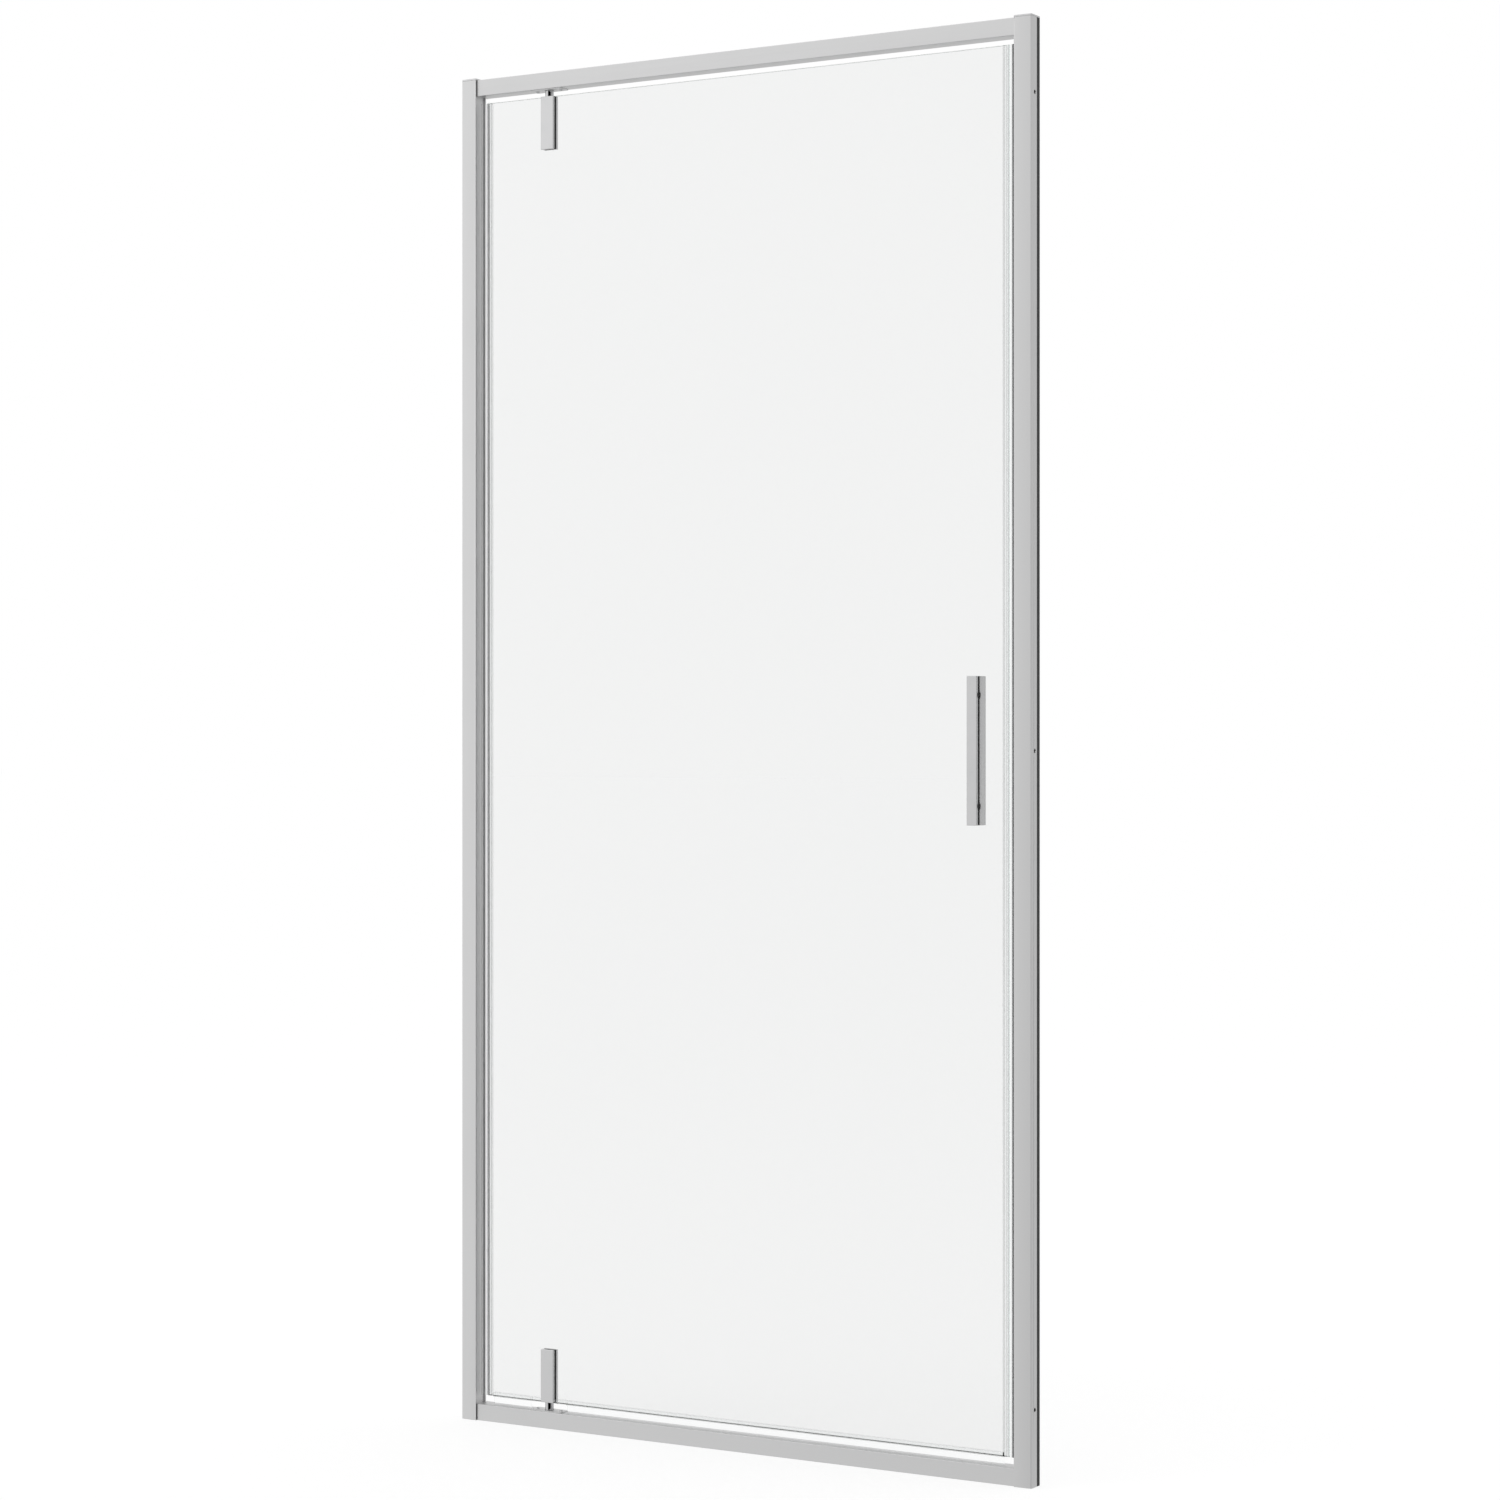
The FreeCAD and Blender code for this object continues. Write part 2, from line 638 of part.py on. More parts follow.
def strike_strip():
    """The carrier on the right upright and the magnet inside it."""
    carrier = new_body("strike_carrier")
    half = "(strike_strip_depth / 2)"
    half_inside = f"({half} - seal_wall)"
    front_wall = f"({STRIKE_FACE} + seal_wall)"
    section = [
        (UPRIGHT_FACE, f"-{half}"),
        (UPRIGHT_FACE, f"-{half_inside}"),
        (front_wall, f"-{half_inside}"),
        (front_wall, half_inside),
        (UPRIGHT_FACE, half_inside),
        (UPRIGHT_FACE, half),
        (STRIKE_FACE, half),
        (STRIKE_FACE, f"-{half}"),
    ]
    span = ("rail_height + strike_end_gap", f"{HEADER_FOOT} - strike_end_gap")
    pad(carrier, "XY", lambda sketch: polygon(sketch, section), *span)
    magnet = new_body("strike_magnet")
    half_magnet = f"({half_inside} - seal_clearance)"
    outline = (f"({front_wall} + seal_clearance)", UPRIGHT_FACE, f"-{half_magnet}", half_magnet)
    pad(magnet, "XY", lambda sketch: rectangle(sketch, *outline), *span)


# Leaf

def glass_panel():
    """The pane: a notch for each pivot tongue, two handle holes and ground arrises."""
    body = new_body("glass_panel")
    outline = (GLASS_LEFT, GLASS_RIGHT, GLASS_FOOT, GLASS_HEAD)
    pad(body, "XZ", lambda sketch: rectangle(sketch, *outline), f"-{GLASS_FACE}", GLASS_FACE)
    through = (f"(-{GLASS_FACE} - cut_overrun)", f"({GLASS_FACE} + cut_overrun)")
    left = f"({PIVOT} - {NOTCH_WIDTH} / 2)"
    right = f"({PIVOT} + {NOTCH_WIDTH} / 2)"
    for edge, direction in ((GLASS_FOOT, 1), (GLASS_HEAD, -1)):
        outside = f"({edge} - {direction} * cut_overrun)"
        centre = f"({edge} + {direction} * {TONGUE_CENTRE_DROP})"
        pocket(body, "XZ", lambda s, o=outside, c=centre: rectangle(s, left, right, o, c), *through)
        pocket(body, "XZ", lambda s, c=centre: circle(s, PIVOT, c, NOTCH_WIDTH), *through)

    def handle_holes(sketch):
        for height in STUD_HEIGHTS:
            circle(sketch, HANDLE_PLACE, height, "handle_hole_diameter")

    pocket(body, "XZ", handle_holes, *through)
    arrises = edges_on(body, y=f"-{GLASS_FACE}") + edges_on(body, y=GLASS_FACE)
    chamfer(body, "glass_arris", arrises)


def pivot_pin(label, gap, height, turn):
    """A pin with a turned journal and a flat tongue for the clamp."""
    body = new_body(label)
    radius = "(pin_diameter / 2)"
    tip = f"({gap} + {PIN_IN_BUSH})"
    profile = [
        ("0", "0"),
        (radius, "0"),
        (radius, f"({tip} - pin_tip_chamfer)"),
        (f"({radius} - pin_tip_chamfer)", tip),
        ("0", tip),
    ]
    revolve(body, profile)
    half = f"({CLAMP_FACE} - tongue_clearance)"
    rounding = f"-{TONGUE_CENTRE_DROP}"
    flat = ("-tongue_width / 2", "tongue_width / 2", rounding, "0")
    pad(body, "XZ", lambda sketch: rectangle(sketch, *flat), f"-{half}", half)
    pad(body, "XZ", lambda sketch: circle(sketch, "0", rounding, "tongue_width"), f"-{half}", half)

    def screw_holes(sketch):
        for drop in CLAMP_SCREW_DROPS:
            circle(sketch, "0", f"-{drop}", CLAMP_BORE)

    pocket(body, "XZ", screw_holes, f"(-{half} - cut_overrun)", f"({half} + cut_overrun)")
    place(body, PIVOT, "0", height, turn)


def clamp_plate(label, edge, direction, low, high, outer):
    """One clamp plate on the glass, with the edges of its outer face rounded."""
    body = new_body(label)
    far_end = f"({edge} + {direction} * clamp_height)"
    foot, head = (edge, far_end) if direction > 0 else (far_end, edge)
    outline = (f"({PIVOT} - clamp_width / 2)", f"({PIVOT} + clamp_width / 2)", foot, head)
    pad(body, "XZ", lambda sketch: rectangle(sketch, *outline), low, high)
    fillet(body, "clamp_edge_radius", edges_on(body, y=outer))
    return body


def clamp_holes(body, edge, direction, diameter, low, high):
    """The two screw holes or counterbores of a clamp plate."""
    def holes(sketch):
        for drop in CLAMP_SCREW_DROPS:
            circle(sketch, PIVOT, f"({edge} + {direction} * {drop})", diameter)

    pocket(body, "XZ", holes, low, high)


def clamp(end, edge, direction):
    """The front plate with blind threads, the rear plate with counterbores, and the pads."""
    front_inside = f"(-{CLAMP_FACE})"
    front_outside = f"({front_inside} - clamp_front_wall)"
    front = clamp_plate(f"clamp_front_{end}", edge, direction, front_outside, front_inside, front_outside)
    thread_end = f"({front_inside} - clamp_thread_depth - pin_end_clearance)"
    clamp_holes(front, edge, direction, CLAMP_BORE, thread_end, f"({front_inside} + cut_overrun)")
    rear_outside = f"({CLAMP_FACE} + clamp_rear_wall)"
    rear = clamp_plate(f"clamp_rear_{end}", edge, direction, CLAMP_FACE, rear_outside, rear_outside)
    beyond = f"({rear_outside} + cut_overrun)"
    clamp_holes(rear, edge, direction, CLAMP_BORE, f"({CLAMP_FACE} - cut_overrun)", beyond)
    head_bore = "clamp_head_diameter + 2 * screw_clearance"
    head_seat = f"({rear_outside} - clamp_head_height)"
    clamp_holes(rear, edge, direction, head_bore, head_seat, beyond)
    clamp_pads(end, edge, direction)


def clamp_pads(end, edge, direction):
    """The pads between the plates and the glass, cut out round the tongue."""
    pad_body = new_body(f"clamp_pad_{end}", is_node=False)
    half = "(clamp_width / 2 - clamp_gasket_margin)"
    far_end = f"({edge} + {direction} * (clamp_height - clamp_gasket_margin))"
    near_end = f"({edge} + {direction} * clamp_gasket_margin)"
    foot, head = (near_end, far_end) if direction > 0 else (far_end, near_end)
    outline = (f"-{half}", half, foot, head)
    pad(pad_body, "XZ", lambda sketch: rectangle(sketch, *outline), "0", "clamp_gasket_thickness")
    through = ("-cut_overrun", "clamp_gasket_thickness + cut_overrun")
    outside = f"({edge} - {direction} * cut_overrun)"
    centre = f"({edge} + {direction} * {TONGUE_CENTRE_DROP})"
    slot = (f"-{NOTCH_WIDTH} / 2", f"{NOTCH_WIDTH} / 2", outside, centre)
    pocket(pad_body, "XZ", lambda sketch: rectangle(sketch, *slot), *through)
    pocket(pad_body, "XZ", lambda sketch: circle(sketch, "0", centre, NOTCH_WIDTH), *through)
    places = [(PIVOT, GLASS_FACE, "0"), (PIVOT, f"-{CLAMP_FACE}", "0")]
    group(f"clamp_gaskets_{end}", pad_body, places)


def clamp_screws():
    """Socket screws from the rear plate through the tongue into the front plate."""
    length = f"({CLAMP_FACE} * 2 + clamp_rear_wall - clamp_head_height + clamp_thread_depth)"
    head = ("clamp_head_diameter", "clamp_head_height")
    screw = headed_screw("clamp_screw", "clamp_shank_diameter", length, *head)
    socket_floor = "(clamp_head_height - clamp_socket_depth)"
    socket_mouth = "clamp_head_height + cut_overrun"
    pocket(screw, "XY", lambda sketch: hexagon(sketch, "clamp_socket_width"), socket_floor, socket_mouth)
    seat = f"({CLAMP_FACE} + clamp_rear_wall - clamp_head_height)"
    places = []
    for drop in CLAMP_SCREW_DROPS:
        places.append((PIVOT, seat, f"({GLASS_FOOT} + {drop})", HEAD_REAR))
        places.append((PIVOT, seat, f"({GLASS_HEAD} - {drop})", HEAD_REAR))
    group("clamp_screws", screw, places)


def handle_bar(label, low, high, stud_low, stud_high):
    """A handle bar with rounded edges and two blind stud holes."""
    body = new_body(label)
    half_length = "handle_length / 2"
    left = f"({HANDLE_PLACE} - handle_width / 2)"
    right = f"({HANDLE_PLACE} + handle_width / 2)"
    foot = f"(handle_centre_height - {half_length})"
    head = f"(handle_centre_height + {half_length})"
    pad(body, "XZ", lambda sketch: rectangle(sketch, left, right, foot, head), low, high)
    fillet(body, "handle_edge_radius", [f"Edge{number + 1}" for number in range(len(body.Shape.Edges))])

    def stud_holes(sketch):
        for height in STUD_HEIGHTS:
            circle(sketch, HANDLE_PLACE, height, STUD_BORE)

    pocket(body, "XZ", stud_holes, stud_low, stud_high)
    return body


def handle():
    """The front plate, the pull bar, and what ties them through the glass."""
    front_outside = f"(-{HANDLE_FACE} - handle_plate_thickness)"
    stud_front = f"(-{HANDLE_FACE} - stud_in_plate)"
    stud_rear = f"({HANDLE_FACE} + stud_in_bar)"
    handle_bar("handle_front_plate", front_outside, f"-{HANDLE_FACE}", f"({stud_front} - pin_end_clearance)",
               f"(cut_overrun - {HANDLE_FACE})")
    rear_outside = f"({HANDLE_FACE} + handle_bar_depth)"
    bar = handle_bar("handle_pull_bar", HANDLE_FACE, rear_outside, f"({HANDLE_FACE} - cut_overrun)",
                     f"({stud_rear} + pin_end_clearance)")
    grub_place = f"({HANDLE_FACE} + stud_in_bar / 2)"
    grub_outside = f"({HANDLE_PLACE} - handle_width / 2)"

    def grub_holes(sketch):
        for height in STUD_HEIGHTS:
            circle(sketch, grub_place, height, "set_screw_diameter + 2 * screw_clearance")

    pocket(bar, "YZ", grub_holes, f"({grub_outside} - cut_overrun)", HANDLE_PLACE)
    stud = new_body("handle_stud", is_node=False)
    stud_length = f"({stud_rear} - {stud_front})"
    radius = "(stud_diameter / 2)"
    revolve(stud, [("0", "0"), (radius, "0"), (radius, stud_length), ("0", stud_length)])
    group("handle_studs", stud, [(HANDLE_PLACE, stud_front, height, HEAD_REAR) for height in STUD_HEIGHTS])
    grub = new_body("handle_set_screw", is_node=False)
    grub_length = f"(handle_width / 2 - {radius} - screw_clearance - handle_edge_radius)"
    grub_radius = "(set_screw_diameter / 2)"
    revolve(grub, [("0", "0"), (grub_radius, "0"), (grub_radius, grub_length), ("0", grub_length)])
    grub_foot = f"({HANDLE_PLACE} - {radius} - screw_clearance)"
    group("handle_set_screws", grub, [(grub_foot, grub_place, height, HEAD_LEFT) for height in STUD_HEIGHTS])
    handle_rings(f"({STUD_BORE} / 2)")


def handle_rings(bore):
    """The washers against the glass and the sleeves in its holes."""
    washer = new_body("handle_washer", is_node=False)
    outside = "(handle_washer_diameter / 2)"
    thick = "handle_washer_thickness"
    revolve(washer, [(bore, "0"), (outside, "0"), (outside, thick), (bore, thick)])
    places = []
    for height in STUD_HEIGHTS:
        places.append((HANDLE_PLACE, GLASS_FACE, height, HEAD_REAR))
        places.append((HANDLE_PLACE, f"-{HANDLE_FACE}", height, HEAD_REAR))
    group("handle_washers", washer, places)
    sleeve = new_body("handle_sleeve", is_node=False)
    sleeve_outside = "(handle_hole_diameter / 2 - handle_sleeve_clearance)"
    sleeve_profile = [
        (bore, "0"),
        (sleeve_outside, "0"),
        (sleeve_outside, "glass_thickness"),
        (bore, "glass_thickness"),
    ]
    revolve(sleeve, sleeve_profile)
    front = f"-{GLASS_FACE}"
    group("handle_sleeves", sleeve, [(HANDLE_PLACE, front, height, HEAD_REAR) for height in STUD_HEIGHTS])


def clip_section(back, inside, leg_end):
    """The U of a clip-on seal, along the glass edge's own direction and across the glass."""
    return [
        (leg_end, f"-{SEAL_OUTSIDE}"),
        (back, f"-{SEAL_OUTSIDE}"),
        (back, SEAL_OUTSIDE),
        (leg_end, SEAL_OUTSIDE),
        (leg_end, SEAL_INSIDE),
        (inside, SEAL_INSIDE),
        (inside, f"-{SEAL_INSIDE}"),
        (leg_end, f"-{SEAL_INSIDE}"),
    ]


def hinge_seal():
    """The hinge side's clip with a hollow bulb towards the post, joined by a thin web."""
    body = new_body("hinge_seal")
    inside = f"({GLASS_LEFT} - seal_clearance)"
    back = f"({inside} - seal_wall)"
    section = clip_section(back, inside, f"({GLASS_LEFT} + hinge_seal_leg)")
    pad(body, "XY", lambda sketch: polygon(sketch, section), GLASS_FOOT, GLASS_HEAD)
    tip = f"(seal_running_gap - {OPENING_SIDE})"
    centre = f"({tip} + bulb_diameter / 2)"

    def ring(sketch):
        circle(sketch, centre, "0", "bulb_diameter")
        circle(sketch, centre, "0", "bulb_diameter - 2 * bulb_wall")

    web_start = f"({tip} + bulb_diameter - bulb_wall / 2)"
    web = (web_start, f"({back} + seal_wall / 2)", "-seal_wall / 2", "seal_wall / 2")
    pad(body, "XY", lambda sketch: rectangle(sketch, *web), GLASS_FOOT, GLASS_HEAD)
    pad(body, "XY", ring, GLASS_FOOT, GLASS_HEAD)


def strike_seal():
    """The strike side's clip, an empty cell, the chamber of its magnet, and the magnet."""
    body = new_body("strike_seal")
    inside = f"({GLASS_RIGHT} + seal_clearance)"
    back = f"({inside} + seal_wall)"
    section = clip_section(back, inside, f"({GLASS_RIGHT} - strike_seal_leg)")
    pad(body, "XY", lambda sketch: polygon(sketch, section), GLASS_FOOT, GLASS_HEAD)
    magnet_right = f"({LEAF_TIP} - seal_wall - seal_clearance)"
    magnet_left = f"({magnet_right} - leaf_magnet_reach)"
    half_magnet = "(leaf_magnet_depth / 2)"
    half_chamber = f"({half_magnet} + seal_clearance)"
    half_outside = f"({half_chamber} + seal_wall)"

    def chamber(sketch):
        rectangle(sketch, back, LEAF_TIP, f"-{half_outside}", half_outside)
        left = f"({magnet_left} - seal_clearance)"
        right = f"({magnet_right} + seal_clearance)"
        rectangle(sketch, left, right, f"-{half_chamber}", half_chamber)
        cell_ends = (f"({back} + seal_wall)", f"({left} - seal_wall)")
        rectangle(sketch, *cell_ends, f"-{half_chamber}", half_chamber)

    pad(body, "XY", chamber, GLASS_FOOT, GLASS_HEAD)
    magnet = new_body("leaf_magnet")
    outline = (magnet_left, magnet_right, f"-{half_magnet}", half_magnet)
    pad(magnet, "XY", lambda sketch: rectangle(sketch, *outline), GLASS_FOOT, GLASS_HEAD)


def bottom_seal(label, left, right, fin_left, fin_right):
    """A length of bottom seal: the clip on the glass and a fin down to the sill."""
    body = new_body(label)
    inside = f"({GLASS_FOOT} - seal_clearance)"
    under = f"({inside} - seal_wall)"
    section = [(y, z) for z, y in clip_section(under, inside, f"({GLASS_FOOT} + bottom_seal_leg)")]
    pad(body, "YZ", lambda sketch: polygon(sketch, section), left, right)
    half_fin = "bottom_fin_wall / 2"
    fin = (f"-{half_fin}", half_fin, "(rail_height + bottom_fin_gap)", under)
    pad(body, "YZ", lambda sketch: rectangle(sketch, *fin), fin_left, fin_right)


def bottom_seals():
    """The bottom seal each side of the lower clamp, its fin cut back to swing past the bearing plate."""
    beside_clamp = "(clamp_width / 2 + seal_end_gap)"
    plate_corner = "sqrt(bearing_plate_length ^ 2 + bearing_plate_depth ^ 2) / 2"
    swing = f"({plate_corner} + bottom_fin_swing_gap)"
    left_end = f"({GLASS_LEFT} + hinge_seal_leg + seal_end_gap)"
    right_end = f"({GLASS_RIGHT} - strike_seal_leg - seal_end_gap)"
    short_end = f"({PIVOT} - {beside_clamp})"
    bottom_seal("bottom_seal_short", left_end, short_end, left_end, f"({PIVOT} - {swing})")
    long_start = f"({PIVOT} + {beside_clamp})"
    bottom_seal("bottom_seal_long", long_start, right_end, f"({PIVOT} + {swing})", right_end)


def build_frame():
    """Every piece that stays with the walls."""
    for side, sign in (("left", -1), ("right", 1)):
        wall_channel(f"wall_channel_{side}", sign)
        wall_gasket(f"wall_gasket_{side}", sign)
        upright(f"upright_{side}", sign)
        top_cap(f"top_cap_{side}", sign)
    rails()
    bearing_plate("bearing_plate_bottom", "rail_height")
    bearing_plate("bearing_plate_top", f"({HEADER_FOOT} - bearing_plate_thickness)")
    pivot_bush("pivot_bush_bottom", "rail_wall", HEAD_UP)
    pivot_bush("pivot_bush_top", f"({CHANNEL_TOP} - rail_wall)", HEAD_DOWN)
    frame_screws()
    strike_strip()


def build_leaf():
    """Every piece that turns with the glass."""
    glass_panel()
    pivot_pin("pivot_pin_top", "glass_top_gap", GLASS_HEAD, HEAD_UP)
    pivot_pin("pivot_pin_bottom", "glass_bottom_gap", GLASS_FOOT, HEAD_DOWN)
    clamp("top", GLASS_HEAD, -1)
    clamp("bottom", GLASS_FOOT, 1)
    clamp_screws()
    handle()
    hinge_seal()
    strike_seal()
    bottom_seals()


def check_all():
    """Stop if anything in the document failed or a node has no sound shape."""
    for item in doc.Objects:
        if "Invalid" in item.State or "Error" in item.State:
            raise RuntimeError(f"{item.Label} failed: {item.State}")
    for node in nodes:
        if node.Shape.isNull() or not node.Shape.isValid() or not node.Shape.Solids:
            raise RuntimeError(f"{node.Label} has no sound solid")


def write_nodes():
    """One file for each node, named after it."""
    os.makedirs("parts", exist_ok=True)
    for node in nodes:
        node.Shape.exportStep(f"parts/{node.Label}.step")
        print(f"{node.Label}: {len(node.Shape.Solids)} solids, {node.Shape.Volume:.1f} cubic mm")


fill_sheet()
build_frame()
build_leaf()
doc.recompute()
check_all()
write_nodes()
print(f"{len(nodes)} nodes")
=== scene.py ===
# %% [markdown]
# A framed pivot shower door.
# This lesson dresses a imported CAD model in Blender. The CAD gives every rigid piece its true size and
# place. Blender adds the finishes, the soft clear seals and the small fasteners, and takes the picture.

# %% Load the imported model
import json
import math

import bmesh
import bpy
from mathutils import Matrix, Vector


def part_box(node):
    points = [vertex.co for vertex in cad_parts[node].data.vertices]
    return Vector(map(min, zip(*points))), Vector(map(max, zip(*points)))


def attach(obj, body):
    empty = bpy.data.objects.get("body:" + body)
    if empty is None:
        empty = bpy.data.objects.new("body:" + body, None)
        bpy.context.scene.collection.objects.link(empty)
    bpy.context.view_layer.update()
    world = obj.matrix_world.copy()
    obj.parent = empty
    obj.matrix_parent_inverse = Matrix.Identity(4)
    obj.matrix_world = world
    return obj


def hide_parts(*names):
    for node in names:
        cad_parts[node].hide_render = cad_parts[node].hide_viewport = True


MM = 0.001
QUARTER_TURN = math.pi / 2
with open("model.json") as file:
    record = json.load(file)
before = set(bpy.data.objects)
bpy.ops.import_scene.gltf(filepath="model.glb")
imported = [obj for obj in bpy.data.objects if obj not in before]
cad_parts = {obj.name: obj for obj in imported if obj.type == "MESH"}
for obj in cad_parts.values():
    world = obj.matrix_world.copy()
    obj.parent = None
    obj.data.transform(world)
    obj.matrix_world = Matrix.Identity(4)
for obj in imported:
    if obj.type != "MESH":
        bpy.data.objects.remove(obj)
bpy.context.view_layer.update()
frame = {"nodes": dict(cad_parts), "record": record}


def in_mm(lengths):
    """Lengths in whole millimetres, for a reader."""
    return [round(length / MM) for length in lengths]


# %% [markdown]
# The camera stands at the height of the door's middle, well to the right, and looks level, so that every
# upright stays upright in the picture. A tilt would centre the door too, but the posts would lean. A
# small vertical shift does it instead, as an architect's lens does.

# %% Camera
CAMERA_TURN = math.radians(30.9833)
CAMERA_PLACE = (2.4617, -4.0683, 0.974)
SENSOR_MM = 36
LENS_MM = 84.104
LENS_SHIFT_UP = -0.0118

lens = bpy.data.cameras.new("door_camera")
lens.sensor_width = SENSOR_MM
lens.lens = LENS_MM
lens.shift_y = LENS_SHIFT_UP
camera = bpy.data.objects.new("door_camera", lens)
camera.location = CAMERA_PLACE
camera.rotation_euler = (QUARTER_TURN, 0, CAMERA_TURN)
bpy.context.collection.objects.link(camera)
bpy.context.scene.camera = camera
print("camera at", in_mm(camera.location), "mm")

# %% [markdown]
# Metal shows its surroundings more than its own colour, so the studio comes before the finishes. Its
# world is a tree of nodes, as every finish is. A few helpers add nodes, feed sockets and do sums, so
# that the trees read like formulas.

# %% World and tools for node trees
NODE_STEP = 200


def add_node(tree, kind, **settings):
    """A node with its settings, to the right of those before it in the editor."""
    node = tree.nodes.new(kind)
    node.location.x = NODE_STEP * len(tree.nodes)
    for name, setting in settings.items():
        setattr(node, name, setting)
    return node


def feed(tree, socket, given):
    """Link another node's output to a socket, or set the socket to a plain value."""
    if isinstance(given, bpy.types.NodeSocket):
        tree.links.new(given, socket)
    else:
        socket.default_value = given


def math_node(tree, operation, first, second):
    """The result of a sum or comparison of two values."""
    node = add_node(tree, "ShaderNodeMath", operation=operation)
    for socket, given in zip(node.inputs, (first, second)):
        feed(tree, socket, given)
    return node.outputs[0]


def dot_with(tree, vector, direction):
    """How far a vector points along a fixed direction."""
    node = add_node(tree, "ShaderNodeVectorMath", operation="DOT_PRODUCT")
    feed(tree, node.inputs[0], vector)
    node.inputs[1].default_value = direction
    return node.outputs["Value"]


def ranged(tree, value, spread, result):
    """A value moved from one spread to another, and kept inside it."""
    node = add_node(tree, "ShaderNodeMapRange")
    names = ("Value", "From Min", "From Max", "To Min", "To Max")
    for name, given in zip(names, (value, *spread, *result)):
        feed(tree, node.inputs[name], given)
    return node.outputs["Result"]


def mix_values(tree, first, second, share):
    """One value that goes from the first to the second as the share grows."""
    mix = add_node(tree, "ShaderNodeMix")
    for socket, given in zip(("Factor", "A", "B"), (share, first, second)):
        feed(tree, mix.inputs[socket], given)
    return mix.outputs["Result"]


bpy.context.scene.view_settings.view_transform = "Standard"
world = bpy.data.worlds.new("studio")
bpy.context.scene.world = world
world.use_nodes = True
sky = world.node_tree
print("world", world.name, "starts with", len(sky.nodes), "nodes")

# %% [markdown]
# A picture of a room could light the metal, but a few nodes need no file and are easy to tune. One even
# tone would make all sides of a profile look alike. So in a reflection the room is brighter in front,
# and there brighter to the left and above, which gives each side a tone of its own.

# %% Room in the reflections
ROOM_MIDDLE = 0.80
FRONT_GAIN = 0.12
LEFT_SLOPE = 0.6
LEFT_EDGE = (-0.5, 0.15)
CEILING_GAIN = 0.2
CEILING_EDGE = (-0.45, 0.45)
BEHIND_TO_FRONT = (-1, 1)
NONE_TO_ALL = (0, 1)
UPWARDS = (0, 0, 1)

look = add_node(sky, "ShaderNodeTexCoord").outputs["Generated"]
turn_sine = math.sin(CAMERA_TURN)
turn_cosine = math.cos(CAMERA_TURN)
to_front = dot_with(sky, look, (-turn_sine, -turn_cosine, 0))
to_left = dot_with(sky, look, (-turn_cosine, turn_sine, 0))
to_ceiling = dot_with(sky, look, UPWARDS)
left_side = ranged(sky, to_left, LEFT_EDGE, [LEFT_SLOPE * edge for edge in LEFT_EDGE])
ceiling = ranged(sky, to_ceiling, CEILING_EDGE, (-CEILING_GAIN, CEILING_GAIN))
front_share = ranged(sky, to_front, BEHIND_TO_FRONT, NONE_TO_ALL)
uneven = math_node(sky, "ADD", left_side, ceiling)
uneven_part = math_node(sky, "MULTIPLY", uneven, front_share)
front_part = math_node(sky, "MULTIPLY", to_front, FRONT_GAIN)
both_parts = math_node(sky, "ADD", front_part, uneven_part)
room = math_node(sky, "ADD", both_parts, ROOM_MIDDLE)
print("room of", ROOM_MIDDLE, "in the reflections")

# %% [markdown]
# The world is white where the eye sees it, directly or through the glass, and a softer grey for the
# light that it gives. Mirror-smooth metal also sees a black flag behind the camera, which draws the dark
# line that polished pins show. Light Path tells these rays apart.

# %% Strength of the world
AMBIENT = 0.86
FLAG_EDGE = (0.74, 0.80)
NO_BOUNCE = 0.5
WHITE = (1, 1, 1, 1)


def rays_in_view(tree, path):
    """1 for what the camera sees, directly or through glass, and 0 for other rays."""
    return math_node(tree, "MAXIMUM", path["Is Camera Ray"], path["Is Transmission Ray"])


def mirrored_rays(tree, path):
    """1 for rays that have met a shiny surface."""
    return math_node(tree, "GREATER_THAN", path["Glossy Depth"], NO_BOUNCE)


path = add_node(sky, "ShaderNodeLightPath").outputs
towards_flag = dot_with(sky, look, (turn_sine, -turn_cosine, 0))
flag = ranged(sky, towards_flag, FLAG_EDGE, NONE_TO_ALL)
smooth_flag = math_node(sky, "MULTIPLY", flag, path["Is Singular Ray"])
not_through = math_node(sky, "LESS_THAN", path["Transmission Depth"], NO_BOUNCE)
flag_seen = math_node(sky, "MULTIPLY", smooth_flag, not_through)
mirrored_room = mix_values(sky, room, 0.0, flag_seen)
direct = mix_values(sky, AMBIENT, 1.0, rays_in_view(sky, path))
strength = mix_values(sky, direct, mirrored_room, mirrored_rays(sky, path))
background = sky.nodes["Background"]
background.inputs["Color"].default_value = WHITE
sky.links.new(strength, background.inputs["Strength"])
print("world gives light of", AMBIENT, "from", len(sky.nodes), "nodes")

# %% [markdown]
# The floor is a plain pale sheet that keeps the door's soft shadow. Its own light is lifted a little for
# the camera and through the glass, so that it runs out to white. A reflection looks through it into the
# room.

# %% Floor
FLOOR_REACH = 60
FLOOR_DROP = 0.5 * MM
FLOOR_SHADE = 0.2
FLOOR_LIFT = 1 - FLOOR_SHADE * AMBIENT
FLOOR_LOOK = {
    "Base Color": (FLOOR_SHADE, FLOOR_SHADE, FLOOR_SHADE, 1),
    "Roughness": 0.9,
    "Specular IOR Level": 0.0,
    "Emission Color": WHITE,
}


def new_finish(name, values):
    """A material whose plain values are set on its own shader."""
    material = bpy.data.materials.new(name)
    material.use_nodes = True
    shader = material.node_tree.nodes["Principled BSDF"]
    for socket, value in values.items():
        shader.inputs[socket].default_value = value
    return material, material.node_tree, shader


